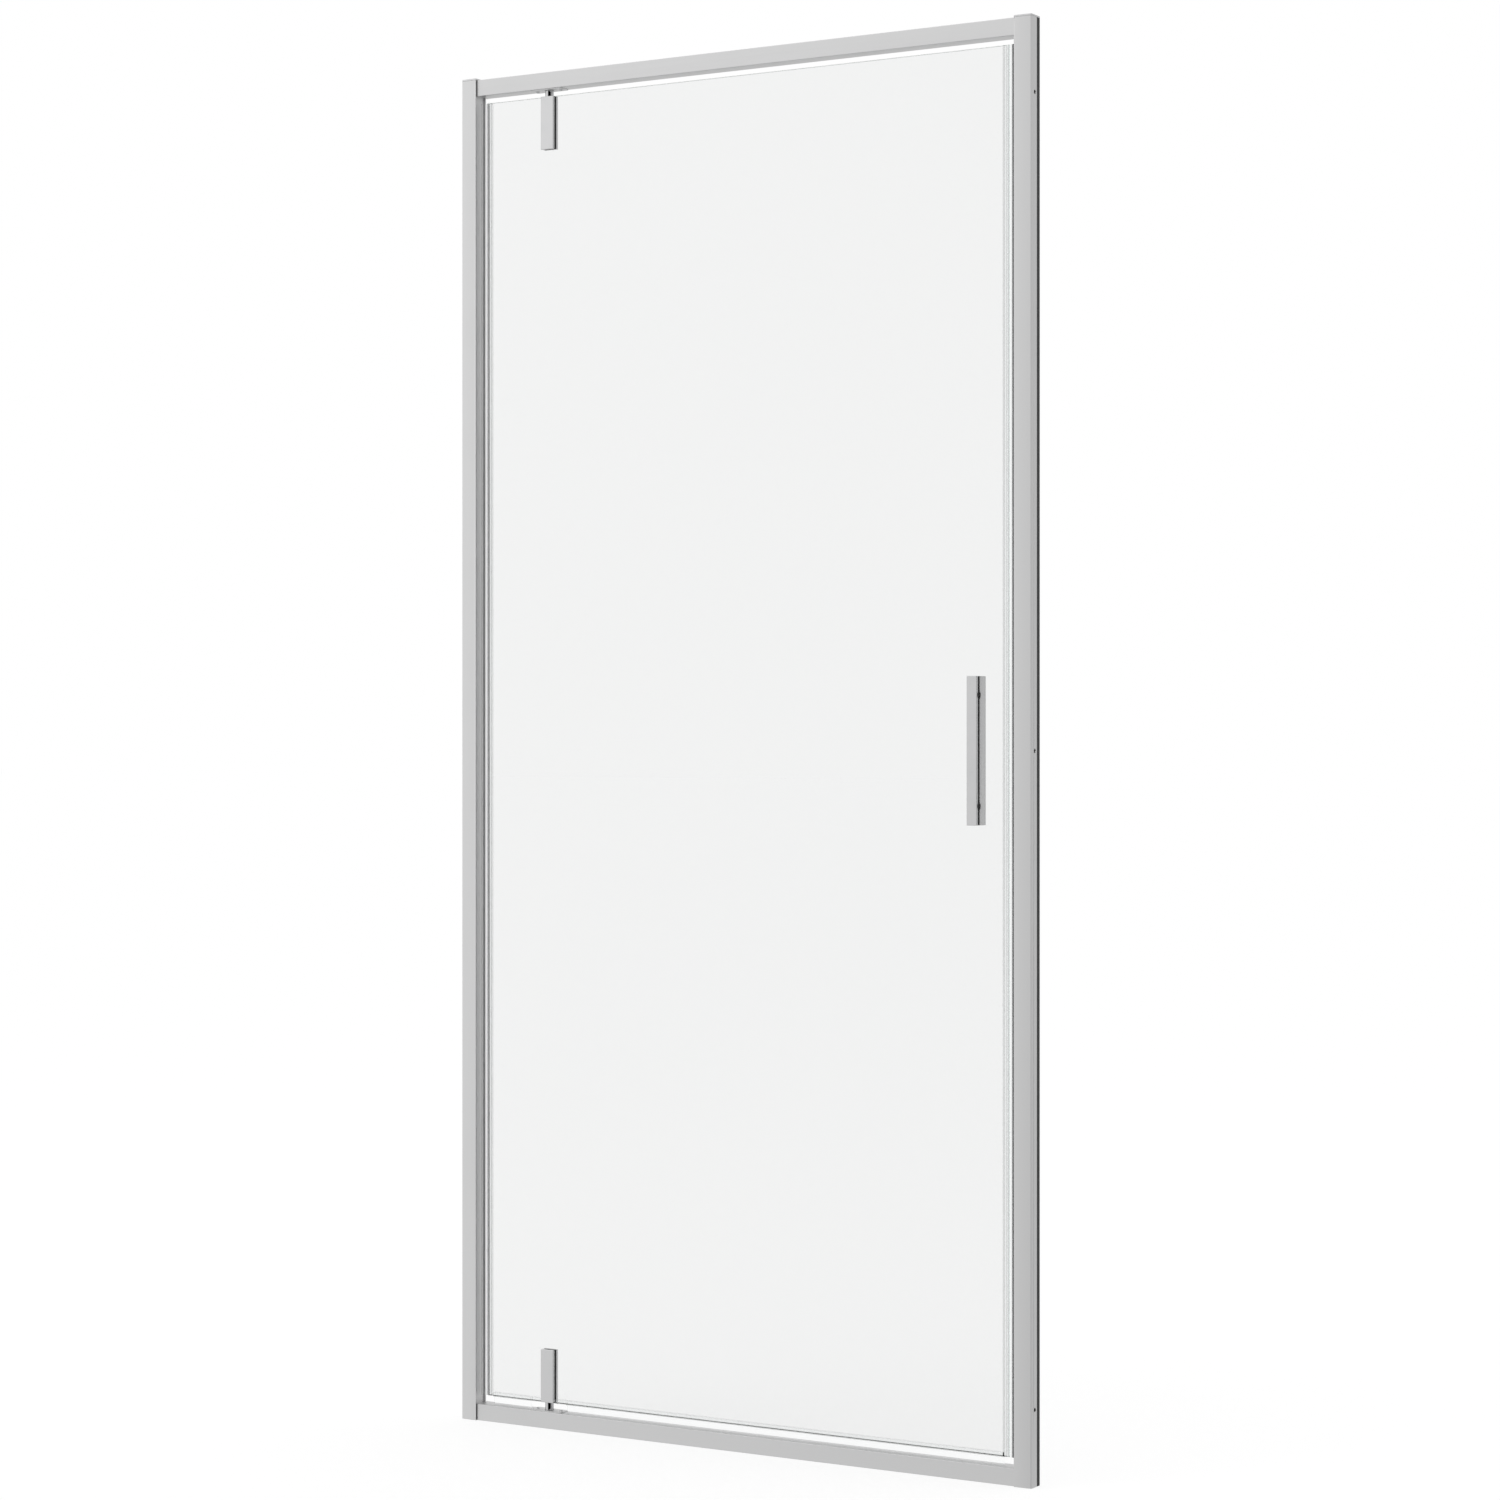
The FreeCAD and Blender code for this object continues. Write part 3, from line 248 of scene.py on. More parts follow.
floor_mesh = bpy.data.meshes.new("floor")
signs = ((-1, -1), (1, -1), (1, 1), (-1, 1))
corners = [(across * FLOOR_REACH, back * FLOOR_REACH, 0) for across, back in signs]
floor_mesh.from_pydata(corners, [], [range(len(corners))])
floor = bpy.data.objects.new("floor", floor_mesh)
floor.location.z = -FLOOR_DROP
bpy.context.collection.objects.link(floor)

paper, tree, sheet = new_finish("floor_paper", FLOOR_LOOK)
path = add_node(tree, "ShaderNodeLightPath").outputs
lift = math_node(tree, "MULTIPLY", rays_in_view(tree, path), FLOOR_LIFT)
tree.links.new(lift, sheet.inputs["Emission Strength"])
clear = add_node(tree, "ShaderNodeBsdfTransparent")
either = add_node(tree, "ShaderNodeMixShader")
tree.links.new(mirrored_rays(tree, path), either.inputs["Fac"])
tree.links.new(sheet.outputs["BSDF"], either.inputs[1])
tree.links.new(clear.outputs["BSDF"], either.inputs[2])
tree.links.new(either.outputs["Shader"], tree.nodes["Material Output"].inputs["Surface"])
floor_mesh.materials.append(paper)
print("floor", 2 * FLOOR_REACH, "m wide")

# %% [markdown]
# Two large soft boxes give the light a direction, without the hard shadows of a sun. They are kept out
# of reflections and out of the glass, so that no bright rectangle lies on the pane.

# %% Soft boxes
DOOR_MIDDLE = Vector((0, 0, 0.95))
BOX_SIDE = 2.4
KEY_PLACE = Vector((-2.6, -3.4, 3.4))
KEY_POWER = 24
FILL_PLACE = Vector((3.4, 1.2, 2.6))
FILL_POWER = 12


def soft_box(name, place, power):
    """A square lamp that faces the door and hides from reflections."""
    lamp = bpy.data.lights.new(name, "AREA")
    lamp.size = BOX_SIDE
    lamp.energy = power
    box = bpy.data.objects.new(name, lamp)
    box.location = place
    box.rotation_euler = (DOOR_MIDDLE - place).to_track_quat("-Z", "Y").to_euler()
    box.visible_glossy = False
    box.visible_transmission = False
    bpy.context.collection.objects.link(box)


soft_box("key_box", KEY_PLACE, KEY_POWER)
soft_box("fill_box", FILL_PLACE, FILL_POWER)

# %% [markdown]
# Three effects return in several finishes, so each is a node group that is built once. Drawn lines are
# what a die or a brush leaves along a bar: noise that is squeezed across the bar and stretched along it.
# Handling marks are the soft clouds of wiped water and fingers. Moulded skin is the fine tooth of rubber
# and plastic. Each puts out plain masks, and every finish decides what to do with them.

# %% Groups of shared effects
UPRIGHT_LINES = (1500, 1500, 5)
FINE_LINES = 1.0
BROAD_LINES = 0.02
LINE_DETAIL = 2.0
CLOUD_SIZE = 12.0
CLOUD_DETAIL = 5.0
CLOUD_EDGE = (0.48, 0.72)
TOOTH_SIZE = 2500.0
PATCH_SIZE = 60.0
SKIN_DETAIL = 3.0


def new_group(name, label, kind, start, outputs):
    """A shader group, what its one input gives, its outputs, and the place on the object."""
    group = bpy.data.node_groups.new(name, "ShaderNodeTree")
    socket = group.interface.new_socket(label, in_out="INPUT", socket_type=kind)
    socket.default_value = start
    for output in outputs:
        group.interface.new_socket(output, in_out="OUTPUT", socket_type="NodeSocketFloat")
    given = add_node(group, "NodeGroupInput").outputs[label]
    place = add_node(group, "ShaderNodeTexCoord").outputs["Object"]
    leave = add_node(group, "NodeGroupOutput").inputs
    return group, given, leave, place


def noise(tree, vector, scale, detail):
    """A cloud of values between 0 and 1."""
    node = add_node(tree, "ShaderNodeTexNoise")
    node.inputs["Detail"].default_value = detail
    feed(tree, node.inputs["Vector"], vector)
    feed(tree, node.inputs["Scale"], scale)
    return node.outputs["Fac"]


drawn_lines, stretch, leave, place = new_group(
    "drawn_lines", "Stretch", "NodeSocketVector", UPRIGHT_LINES, ["Lines", "Tone"])
along = add_node(drawn_lines, "ShaderNodeVectorMath", operation="MULTIPLY")
drawn_lines.links.new(place, along.inputs[0])
drawn_lines.links.new(stretch, along.inputs[1])
for output, scale in (("Lines", FINE_LINES), ("Tone", BROAD_LINES)):
    drawn_lines.links.new(noise(drawn_lines, along.outputs["Vector"], scale, LINE_DETAIL), leave[output])

handling_marks, size, leave, place = new_group(
    "handling_marks", "Size", "NodeSocketFloat", CLOUD_SIZE, ["Marks"])
clouds = noise(handling_marks, place, size, CLOUD_DETAIL)
handling_marks.links.new(ranged(handling_marks, clouds, CLOUD_EDGE, NONE_TO_ALL), leave["Marks"])

moulded_skin, size, leave, place = new_group(
    "moulded_skin", "Size", "NodeSocketFloat", TOOTH_SIZE, ["Skin", "Tone"])
for output, scale in (("Skin", size), ("Tone", PATCH_SIZE)):
    moulded_skin.links.new(noise(moulded_skin, place, scale, SKIN_DETAIL), leave[output])
print("groups:", [group.name for group in bpy.data.node_groups])

# %% [markdown]
# The profiles are satin anodised aluminium. Anodising leaves a fine, even sheen without sharp
# reflections, and the die leaves faint lines along the bar. The lines could be a picture, but stretched
# noise never repeats. Broad lines change the tint, and fine ones the roughness and a shallow relief.
# Uprights are drawn along Z and rails along X, so they are two finishes from one function.

# %% Satin profiles
RAIL_LINES = (5, 1500, 1500)
SATIN_TINTS = ((0.685, 0.685, 0.687), (0.715, 0.715, 0.717))
SATIN_CLOUDS = 7.0
NOISE_SPREAD = (0.3, 0.7)
SATIN_ROUGHNESS = (0.38, 0.44)
SATIN_WIPED = 0.03
SATIN_RELIEF = (0.06, 0.02 * MM)


def use_group(tree, group, **values):
    """A shared effect, placed with this finish's own values."""
    node = add_node(tree, "ShaderNodeGroup", node_tree=group)
    for socket, value in values.items():
        node.inputs[socket].default_value = value
    return node.outputs


def tint(tree, shader, mask, tints):
    """Give a finish two tints, mixed by a mask."""
    ramp = add_node(tree, "ShaderNodeValToRGB")
    for stop, colour in zip(ramp.color_ramp.elements, tints):
        stop.color = (*colour, 1)
    tree.links.new(mask, ramp.inputs["Fac"])
    tree.links.new(ramp.outputs["Color"], shader.inputs["Base Color"])


def relief(tree, shader, mask, strength, depth):
    """Give a finish a shallow relief from a mask."""
    bump = add_node(tree, "ShaderNodeBump")
    bump.inputs["Strength"].default_value = strength
    bump.inputs["Distance"].default_value = depth
    tree.links.new(mask, bump.inputs["Height"])
    tree.links.new(bump.outputs["Normal"], shader.inputs["Normal"])


def satin_profile(name, stretch):
    """Satin anodised aluminium with die lines along the bar."""
    material, tree, shader = new_finish(name, {"Metallic": 1.0})
    lines = use_group(tree, drawn_lines, Stretch=stretch)
    marks = use_group(tree, handling_marks, Size=SATIN_CLOUDS)
    tint(tree, shader, lines["Tone"], SATIN_TINTS)
    grain = ranged(tree, lines["Lines"], NOISE_SPREAD, SATIN_ROUGHNESS)
    wiped = math_node(tree, "MULTIPLY", marks["Marks"], SATIN_WIPED)
    tree.links.new(math_node(tree, "ADD", grain, wiped), shader.inputs["Roughness"])
    relief(tree, shader, lines["Lines"], *SATIN_RELIEF)
    return material


satin_upright = satin_profile("satin_upright", UPRIGHT_LINES)
satin_rail = satin_profile("satin_rail", RAIL_LINES)
print("made", satin_upright.name, "and", satin_rail.name)

# %% [markdown]
# Clamps and handle are polished and chromed, and screws are zinc-plated steel, greyer and duller. A
# perfect mirror would look unreal, so clouds of wiping change the tint and the roughness a little. Only
# the pins are mirror smooth, because they turn in their bushes.

# %% Chrome and zinc
CHROME_CLOUDS = 30.0
CHROME_TINTS = ((0.64, 0.64, 0.645), (0.615, 0.62, 0.625))
CHROME_ROUGHNESS = (0.10, 0.17)
PIN_LINES = (40, 40, 900)
PIN_TINTS = ((0.58, 0.58, 0.585), (0.62, 0.62, 0.625))
ZINC_CLOUDS = 160.0
ZINC_TOOTH = 1800.0
ZINC_TINTS = ((0.68, 0.685, 0.69), (0.60, 0.605, 0.61))
ZINC_ROUGHNESS = (0.26, 0.40)
ZINC_RELIEF = (0.1, 0.01 * MM)


def clouded_metal(name, clouds, tints, roughness):
    """A bright metal that handling marks dull."""
    material, tree, shader = new_finish(name, {"Metallic": 1.0})
    marks = use_group(tree, handling_marks, Size=clouds)
    tint(tree, shader, marks["Marks"], tints)
    tree.links.new(ranged(tree, marks["Marks"], NONE_TO_ALL, roughness), shader.inputs["Roughness"])
    return material, tree, shader


chrome = clouded_metal("polished_chrome", CHROME_CLOUDS, CHROME_TINTS, CHROME_ROUGHNESS)[0]
pin_chrome, tree, shader = new_finish("pin_chrome", {"Metallic": 1.0, "Roughness": 0.0})
lines = use_group(tree, drawn_lines, Stretch=PIN_LINES)
tint(tree, shader, lines["Tone"], PIN_TINTS)
zinc, tree, shader = clouded_metal("zinc_steel", ZINC_CLOUDS, ZINC_TINTS, ZINC_ROUGHNESS)
relief(tree, shader, use_group(tree, moulded_skin, Size=ZINC_TOOTH)["Skin"], *ZINC_RELIEF)
print("made", chrome.name, pin_chrome.name, "and", zinc.name)

# %% [markdown]
# Rubber, magnet strip, moulded plastic and ground glass share one recipe: two close tints in patches, a
# tooth in the relief, and a roughness that follows it. The ground edges are lit and shaded copies: a dark
# one of painted shade, and pale ones with a painted glow for the light that the pane guides to them.

# %% Rubber, magnet, plastic and ground glass
RUBBER_TINTS = ((0.035, 0.035, 0.036), (0.055, 0.055, 0.056))
MAGNET_TINTS = ((0.10, 0.10, 0.105), (0.15, 0.15, 0.155))
BUSH_TINTS = ((0.74, 0.74, 0.72), (0.80, 0.80, 0.78))
CAP_TINTS = ((0.67, 0.67, 0.675), (0.70, 0.70, 0.705))
SHADED_EDGE_TINTS = ((0.16, 0.18, 0.175), (0.19, 0.21, 0.205))
LIT_EDGE_TINTS = ((0.825, 0.84, 0.835), (0.835, 0.85, 0.845))
GROUND = {"rough": (0.55, 0.65), "tooth": 3500.0}
PAINTED_GLOW_TINT = (0.94, 0.97, 0.96, 1)
SKIN_RELIEF = (0.2, 0.03 * MM)


def moulded(name, tints, rough, tooth, metallic=0.0):
    """A moulded, extruded or ground material with a fine tooth."""
    material, tree, shader = new_finish(name, {"Metallic": metallic})
    skin = use_group(tree, moulded_skin, Size=tooth)
    tint(tree, shader, skin["Tone"], tints)
    tree.links.new(ranged(tree, skin["Skin"], NOISE_SPREAD, rough), shader.inputs["Roughness"])
    relief(tree, shader, skin["Skin"], *SKIN_RELIEF)
    return material


def glowing_edge_finish(name, painted_glow_strength):
    """A pale ground edge with a painted glow from emission, standing in for light that the pane guides to
    it.
    """
    material = moulded(name, LIT_EDGE_TINTS, **GROUND)
    shader = material.node_tree.nodes["Principled BSDF"]
    shader.inputs["Emission Color"].default_value = PAINTED_GLOW_TINT
    shader.inputs["Emission Strength"].default_value = painted_glow_strength
    return material


rubber = moulded("black_rubber", RUBBER_TINTS, rough=(0.48, 0.62), tooth=TOOTH_SIZE)
magnet = moulded("magnet_strip", MAGNET_TINTS, rough=(0.45, 0.6), tooth=3200.0)
bush_plastic = moulded("bush_plastic", BUSH_TINTS, rough=(0.35, 0.45), tooth=1800.0)
cap_plastic = moulded("cap_plastic", CAP_TINTS, rough=(0.38, 0.46), tooth=2200.0, metallic=1.0)
# Painted shade: the hinge and bottom ground edges are darkened where they lie in shade.
shaded_edge = moulded("ground_edge_painted_shade", SHADED_EDGE_TINTS, **GROUND)
# Painted light: the strike and top ground edges glow faintly by emission, more at the strike side.
strike_glow_edge = glowing_edge_finish("strike_ground_edge_painted_glow", painted_glow_strength=0.62)
top_glow_edge = glowing_edge_finish("top_ground_edge_painted_glow", painted_glow_strength=0.3)
print("made", rubber.name, magnet.name, bush_plastic.name, cap_plastic.name, "and three ground edges")

# %% [markdown]
# The pane is clear safety glass. A thin sheet could be faked with transparency, but a real solid bends
# the light and shows its greener cut edges. The object's own normal tells faces from edges, and it turns
# with the leaf. The seals are clear vinyl, less dense than glass, with a trace of grey along them. The
# soft lips on their legs are greyer. Those of the strike seal also bend the light less, so that each
# shows as one clean line.

# %% Glass and clear vinyl
GLASS_BENDING = 1.5
GLASS_CLOUDS = 3.0
FACE_EDGE = (0.25, 0.36)
CLEAN_TO_WIPED = (1.0, 0.985)
GLASS_TINTS = ((0.70, 0.76, 0.74), (0.888, 0.892, 0.89))
ACROSS_THE_PANE = (0, 1, 0)
VINYL_BENDING = 1.25
SOFT_BENDING = 1.04
VINYL_LINES = (900, 900, 3)
CLEAR_TINTS = ((0.965, 0.97, 0.97), (0.985, 0.99, 0.99))
GREY_TINTS = ((0.765, 0.77, 0.77), (0.795, 0.80, 0.80))
PALE_TINTS = ((0.905, 0.91, 0.91), (0.925, 0.93, 0.93))


def see_through(name, bending):
    """A clear finish without its tint."""
    return new_finish(name, {"Transmission Weight": 1.0, "IOR": bending, "Roughness": 0.0})


def see_through_vinyl(name, tints, bending):
    """Clear or tinted vinyl with faint lines along it."""
    material, tree, shader = see_through(name, bending)
    lines = use_group(tree, drawn_lines, Stretch=VINYL_LINES)
    tint(tree, shader, lines["Tone"], tints)
    return material


glass, tree, shader = see_through("clear_glass", GLASS_BENDING)
marks = use_group(tree, handling_marks, Size=GLASS_CLOUDS)
normal = add_node(tree, "ShaderNodeTexCoord").outputs["Normal"]
across = dot_with(tree, normal, ACROSS_THE_PANE)
face = ranged(tree, math_node(tree, "MULTIPLY", across, across), FACE_EDGE, NONE_TO_ALL)
wiped = ranged(tree, marks["Marks"], NONE_TO_ALL, CLEAN_TO_WIPED)
clearness = math_node(tree, "MULTIPLY", face, wiped)
tint(tree, shader, clearness, GLASS_TINTS)
vinyl = see_through_vinyl("clear_vinyl", CLEAR_TINTS, VINYL_BENDING)
grey_vinyl = see_through_vinyl("grey_vinyl", GREY_TINTS, SOFT_BENDING)
pale_vinyl = see_through_vinyl("pale_vinyl", PALE_TINTS, VINYL_BENDING)
print("made", glass.name, vinyl.name, grey_vinyl.name, "and", pale_vinyl.name)

# %% [markdown]
# Each CAD node takes the finish of its slot in the record, except where one slot has two finishes: rails
# are drawn the other way from uprights, bearing plates are cut from the same metal, and pins are
# smoother than the clamps.

# %% Dress the CAD nodes
FINISHES = {
    "bright_profile": satin_upright,
    "chrome": chrome,
    "steel": zinc,
    "black_rubber": rubber,
    "magnet": magnet,
    "clear_seal": vinyl,
    "white_plastic": bush_plastic,
    "cap_plastic": cap_plastic,
    "clear_glass": glass,
}
OWN_FINISH = dict.fromkeys(("pivot_pin_top", "pivot_pin_bottom"), pin_chrome)
for name in ("header_rail", "sill_rail", "bearing_plate_top", "bearing_plate_bottom"):
    OWN_FINISH[name] = satin_rail
slot_of = {row["node"]: row["material_slot"] for row in frame["record"]["subparts"]}
for name, node in frame["nodes"].items():
    node.data.materials.clear()
    node.data.materials.append(OWN_FINISH.get(name, FINISHES[slot_of[name]]))
print("dressed", len(slot_of), "nodes with", len(FINISHES), "finishes and", len(OWN_FINISH), "exceptions")

# %% [markdown]
# The seals are vinyl strips with one cross-section all along, so they are drawn like the real ones: an
# outline with rounded corners is filled and pulled out to its length. A curve with a bevel could do that
# too, but a filled outline can have hollows. The first helpers give the outline.

# %% Tools for outlines
SHARP_TURN = math.radians(25)
EDGE_LIMIT = 2.2
ROUND_STEPS = 4


def rounded(corners, radius, steps=ROUND_STEPS):
    """An outline with a small arc at each sharp corner."""
    outline = []
    corners = [Vector(corner) for corner in corners]
    for index, corner in enumerate(corners):
        back = corners[index - 1] - corner
        ahead = corners[(index + 1) % len(corners)] - corner
        turn = math.pi - back.angle(ahead)
        if turn < SHARP_TURN:
            outline.append(corner)
            continue
        reach = min(radius * math.tan(turn / 2), back.length / EDGE_LIMIT, ahead.length / EDGE_LIMIT)
        start = corner + back.normalized() * reach
        end = corner + ahead.normalized() * reach
        for step in range(steps + 1):
            share = step / steps
            outline.append(start.lerp(corner, share).lerp(corner.lerp(end, share), share))
    return outline


def box_outline(low, high, radius):
    """A rectangle with rounded corners, from two opposite corners."""
    corners = [(low[0], low[1]), (high[0], low[1]), (high[0], high[1]), (low[0], high[1])]
    return rounded(corners, radius)


def arc(centre, radius, start, end, steps):
    """Points along an arc, both ends included."""
    points = []
    for step in range(steps + 1):
        angle = start + (end - start) * step / steps
        points.append((centre[0] + radius * math.cos(angle), centre[1] + radius * math.sin(angle)))
    return points


glass_low, glass_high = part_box("glass_panel")
print("the pane, on which most strips sit, is", in_mm(glass_high - glass_low), "mm")

# %% [markdown]
# The next helpers pull an outline out to a strip, in any direction, and turn a finished mesh into a
# piece of the door. A piece rides on one of the two bodies, takes its finish from a slot of the record,
# and may stand for CAD nodes, which it hides.

# %% Tools for drawn strips
SMOOTH_BELOW = math.radians(35)


def draw_out(mesh, loops, span, axes="XYZ"):
    """Add a strip to a mesh. The axes name the two sides of its cross-section and its length."""
    first, second, length = ("XYZ".index(axis) for axis in axes)
    edges = []
    for loop in loops:
        corners = []
        for point in loop:
            place = Vector((0, 0, 0))
            place[first], place[second], place[length] = point[0], point[1], span[0]
            corners.append(mesh.verts.new(place))
        edges += [mesh.edges.new(pair) for pair in zip(corners, corners[1:] + corners[:1])]
    filled = bmesh.ops.triangle_fill(mesh, edges=edges, use_beauty=True)["geom"]
    end_face = [part for part in filled if isinstance(part, bmesh.types.BMFace)]
    pulled = bmesh.ops.extrude_face_region(mesh, geom=end_face, use_keep_orig=True)["geom"]
    far_end = [part for part in pulled if isinstance(part, bmesh.types.BMVert)]
    step = Vector((0, 0, 0))
    step[length] = span[1] - span[0]
    bmesh.ops.translate(mesh, verts=far_end, vec=step)


def drawn(loops, span, axes="XYZ"):
    """A new mesh of one strip, with its faces turned outwards."""
    mesh = bmesh.new()
    draw_out(mesh, loops, span, axes)
    bmesh.ops.recalc_face_normals(mesh, faces=mesh.faces)
    return mesh


def settle(name, mesh, body, slot, *nodes, finish=None):
    """Turn a finished mesh into a piece of the door, which stands for the CAD nodes that are named."""
    bmesh.ops.recalc_face_normals(mesh, faces=mesh.faces)
    data = bpy.data.meshes.new(name)
    mesh.to_mesh(data)
    mesh.free()
    data.shade_smooth()
    data.set_sharp_from_angle(angle=SMOOTH_BELOW)
    data.materials.append(finish or FINISHES[slot])
    piece = bpy.data.objects.new(name, data)
    bpy.context.collection.objects.link(piece)
    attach(piece, body)
    if nodes:
        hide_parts(*nodes)
    print(name, len(data.polygons), "faces")


print("edges sharper than", round(math.degrees(SMOOTH_BELOW)), "degrees stay crisp")

# %% [markdown]
# Every seal grips the glass with the same U-shaped clip, whose legs end in lips of a softer, greyer
# vinyl. So the clip is one function, and each seal adds what its back carries. At the hinge side that is
# a hollow bulb on a thin web, which closes the gap to the post.

# %% Clips and the hinge seal
SEAL_WALL = 0.9 * MM
SEAL_PLAY = 0.05 * MM
BULB_WALL = 0.8 * MM
CLIP_ROUND = 0.35 * MM
LEG_TAPER = 3.4 * MM
LIP_WIDTH = 1 * MM
LIP_ROUND = 0.15 * MM
BULB_STEPS = 40
CLIP_INSIDE = glass_high.y + SEAL_PLAY
CLIP_OUTSIDE = CLIP_INSIDE + SEAL_WALL


def clip(edge, outward, leg_ends, nose=()):
    """The outline of a clip on an edge of the glass: two legs, and a back with what it carries."""
    front_end, rear_end = leg_ends
    inside = edge + outward * SEAL_PLAY
    back = inside + outward * SEAL_WALL
    outline = [(front_end, -CLIP_OUTSIDE), (back, -CLIP_OUTSIDE), *nose, (back, CLIP_OUTSIDE)]
    outline += [(rear_end, CLIP_OUTSIDE), (rear_end, CLIP_INSIDE), (inside, CLIP_INSIDE)]
    outline += [(inside, -CLIP_INSIDE), (front_end, -CLIP_INSIDE)]
    return rounded(outline, CLIP_ROUND)


def lips(seal, tips, leg_ends, span, finish, axes="XYZ"):
    """The front and the rear lip, from the ends of a clip's legs to their tips."""
    mesh = bmesh.new()
    sides = ((-CLIP_OUTSIDE, -CLIP_INSIDE), (CLIP_INSIDE, CLIP_OUTSIDE))
    for (near, far), tip, leg_end in zip(sides, tips, leg_ends):
        start, end = sorted((tip, leg_end))
        draw_out(mesh, [box_outline((start, near), (end, far), LIP_ROUND)], span, axes)
    settle(f"{seal}_lips", mesh, "leaf", "clear_seal", finish=finish)


low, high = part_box("hinge_seal")
tips = [high.x - LEG_TAPER] * 2
leg_ends = [tip - LIP_WIDTH for tip in tips]
bulb_radius = (high.y - low.y) / 2
bulb_centre = (low.x + bulb_radius, 0)
web_angle = math.asin(SEAL_WALL / 2 / bulb_radius)
back = glass_low.x - SEAL_PLAY - SEAL_WALL
bulb = arc(bulb_centre, bulb_radius, -web_angle, web_angle - math.tau, BULB_STEPS)
nose = [(back, -SEAL_WALL / 2), *bulb, (back, SEAL_WALL / 2)]
hollow = arc(bulb_centre, bulb_radius - BULB_WALL, 0, math.tau, BULB_STEPS)[:-1]
mesh = drawn([clip(glass_low.x, -1, leg_ends, nose), hollow], (low.z, high.z))
settle("hinge_seal_strip", mesh, "leaf", "clear_seal", "hinge_seal")
lips("hinge_seal", tips, leg_ends, (low.z, high.z), pale_vinyl)

# %% [markdown]
# The strike side carries an empty cell and the chamber of its magnet. Its front leg reaches further over
# the glass than its rear leg, so the two lips show as two lines side by side. The places of the lips are
# measured from the side of the CAD seal that lies over the glass.

# %% Strike seal
STRIKE_TIPS = (-1.7 * MM, 1.2 * MM)
STRIKE_LEG_ENDS = (1.3 * MM, 3.2 * MM)

low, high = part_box("strike_seal")
magnet_low, magnet_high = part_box("leaf_magnet")
back = glass_high.x + SEAL_PLAY + SEAL_WALL
nose = [(back, low.y), (high.x, low.y), (high.x, high.y), (back, high.y)]
room_depth = magnet_high.y + SEAL_PLAY
chamber_left = magnet_low.x - SEAL_PLAY
chamber = box_outline((chamber_left, -room_depth), (magnet_high.x + SEAL_PLAY, room_depth), CLIP_ROUND)
cell = box_outline((back + SEAL_WALL, -room_depth), (chamber_left - SEAL_WALL, room_depth), CLIP_ROUND)
tips = [low.x + step for step in STRIKE_TIPS]
leg_ends = [low.x + step for step in STRIKE_LEG_ENDS]
mesh = drawn([clip(glass_high.x, 1, leg_ends, nose), chamber, cell], (low.z, high.z))
settle("strike_seal_strip", mesh, "leaf", "clear_seal", "strike_seal")
lips("strike_seal", tips, leg_ends, (low.z, high.z), grey_vinyl)

# %% [markdown]
# The free edges of the pane are ground with an arris at each side. Ground glass doesn't let the eye into
# the pane, so a thin band lies just inside each edge. Its tone is painted light: painted shade at the
# hinge side and below, a pale band with a painted glow at the strike side and above.

# %% Ground edges of the pane
ARRIS = 0.5 * MM
BAND_DEPTH = 0.02 * MM


def ground_edge(name, edge, inward, spans, axes, finish):
    """A band with the edge's own outline, a hair below the surface, along one or more spans."""
    near = edge + inward * BAND_DEPTH
    far = edge + inward * ARRIS
    face = glass_high.y - BAND_DEPTH
    flat = glass_high.y - ARRIS
    outline = [(far, -face), (near, -flat), (near, flat), (far, face)]
    mesh = bmesh.new()
    for span in spans:
        draw_out(mesh, [outline], span, axes)
    settle(name, mesh, "leaf", "clear_glass", finish=finish)


upright_span = (glass_low.z + ARRIS, glass_high.z - ARRIS)
ground_edge("hinge_edge_band", glass_low.x, 1, [upright_span], "XYZ", shaded_edge)
ground_edge("strike_edge_band", glass_high.x, -1, [upright_span], "XYZ", strike_glow_edge)
clamp_low, clamp_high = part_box("clamp_front_top")
level_spans = [(glass_low.x + ARRIS, clamp_low.x), (clamp_high.x, glass_high.x - ARRIS)]
ground_edge("top_edge_band", glass_high.z, -1, level_spans, "ZYX", top_glow_edge)
ground_edge("bottom_edge_band", glass_low.z, 1, level_spans, "ZYX", shaded_edge)

# %% [markdown]
# The bottom seal is the same clip, turned to hold the lower edge. Its fin hangs down to the sill, and
# stops short of the bearing plate, because the leaf sweeps over that plate as it turns.

# %% Bottom seals
FIN_ROOT = 0.8 * MM
FIN_TIP = 0.5 * MM
FIN_FROM_PIVOT = 29.86 * MM
FIN_CUT = 0.01 * MM
pivot = sum(side.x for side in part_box("pivot_pin_bottom")) / 2


def bottom_seal(node, left, fin_start, fin_end, right):
    """A length of bottom seal: plain clip where the fin is cut back, clip and fin elsewhere."""
    low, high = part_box(node)
    under = glass_low.z - SEAL_PLAY - SEAL_WALL
    tips = [high.z] * 2
    leg_ends = [tip - LIP_WIDTH for tip in tips]
    fin = [(under, -FIN_ROOT / 2), (low.z, -FIN_TIP / 2), (low.z, FIN_TIP / 2), (under, FIN_ROOT / 2)]
    mesh = bmesh.new()
    draw_out(mesh, [clip(glass_low.z, -1, leg_ends, fin)], (fin_start, fin_end), "ZYX")
    for start, end in ((left, fin_start), (fin_end, right)):
        if end - start > MM:
            span = (start + FIN_CUT, end - FIN_CUT)
            draw_out(mesh, [clip(glass_low.z, -1, leg_ends)], span, "ZYX")
    settle(f"{node}_strip", mesh, "leaf", "clear_seal", node)
    lips(node, tips, leg_ends, (left, right), pale_vinyl, "ZYX")


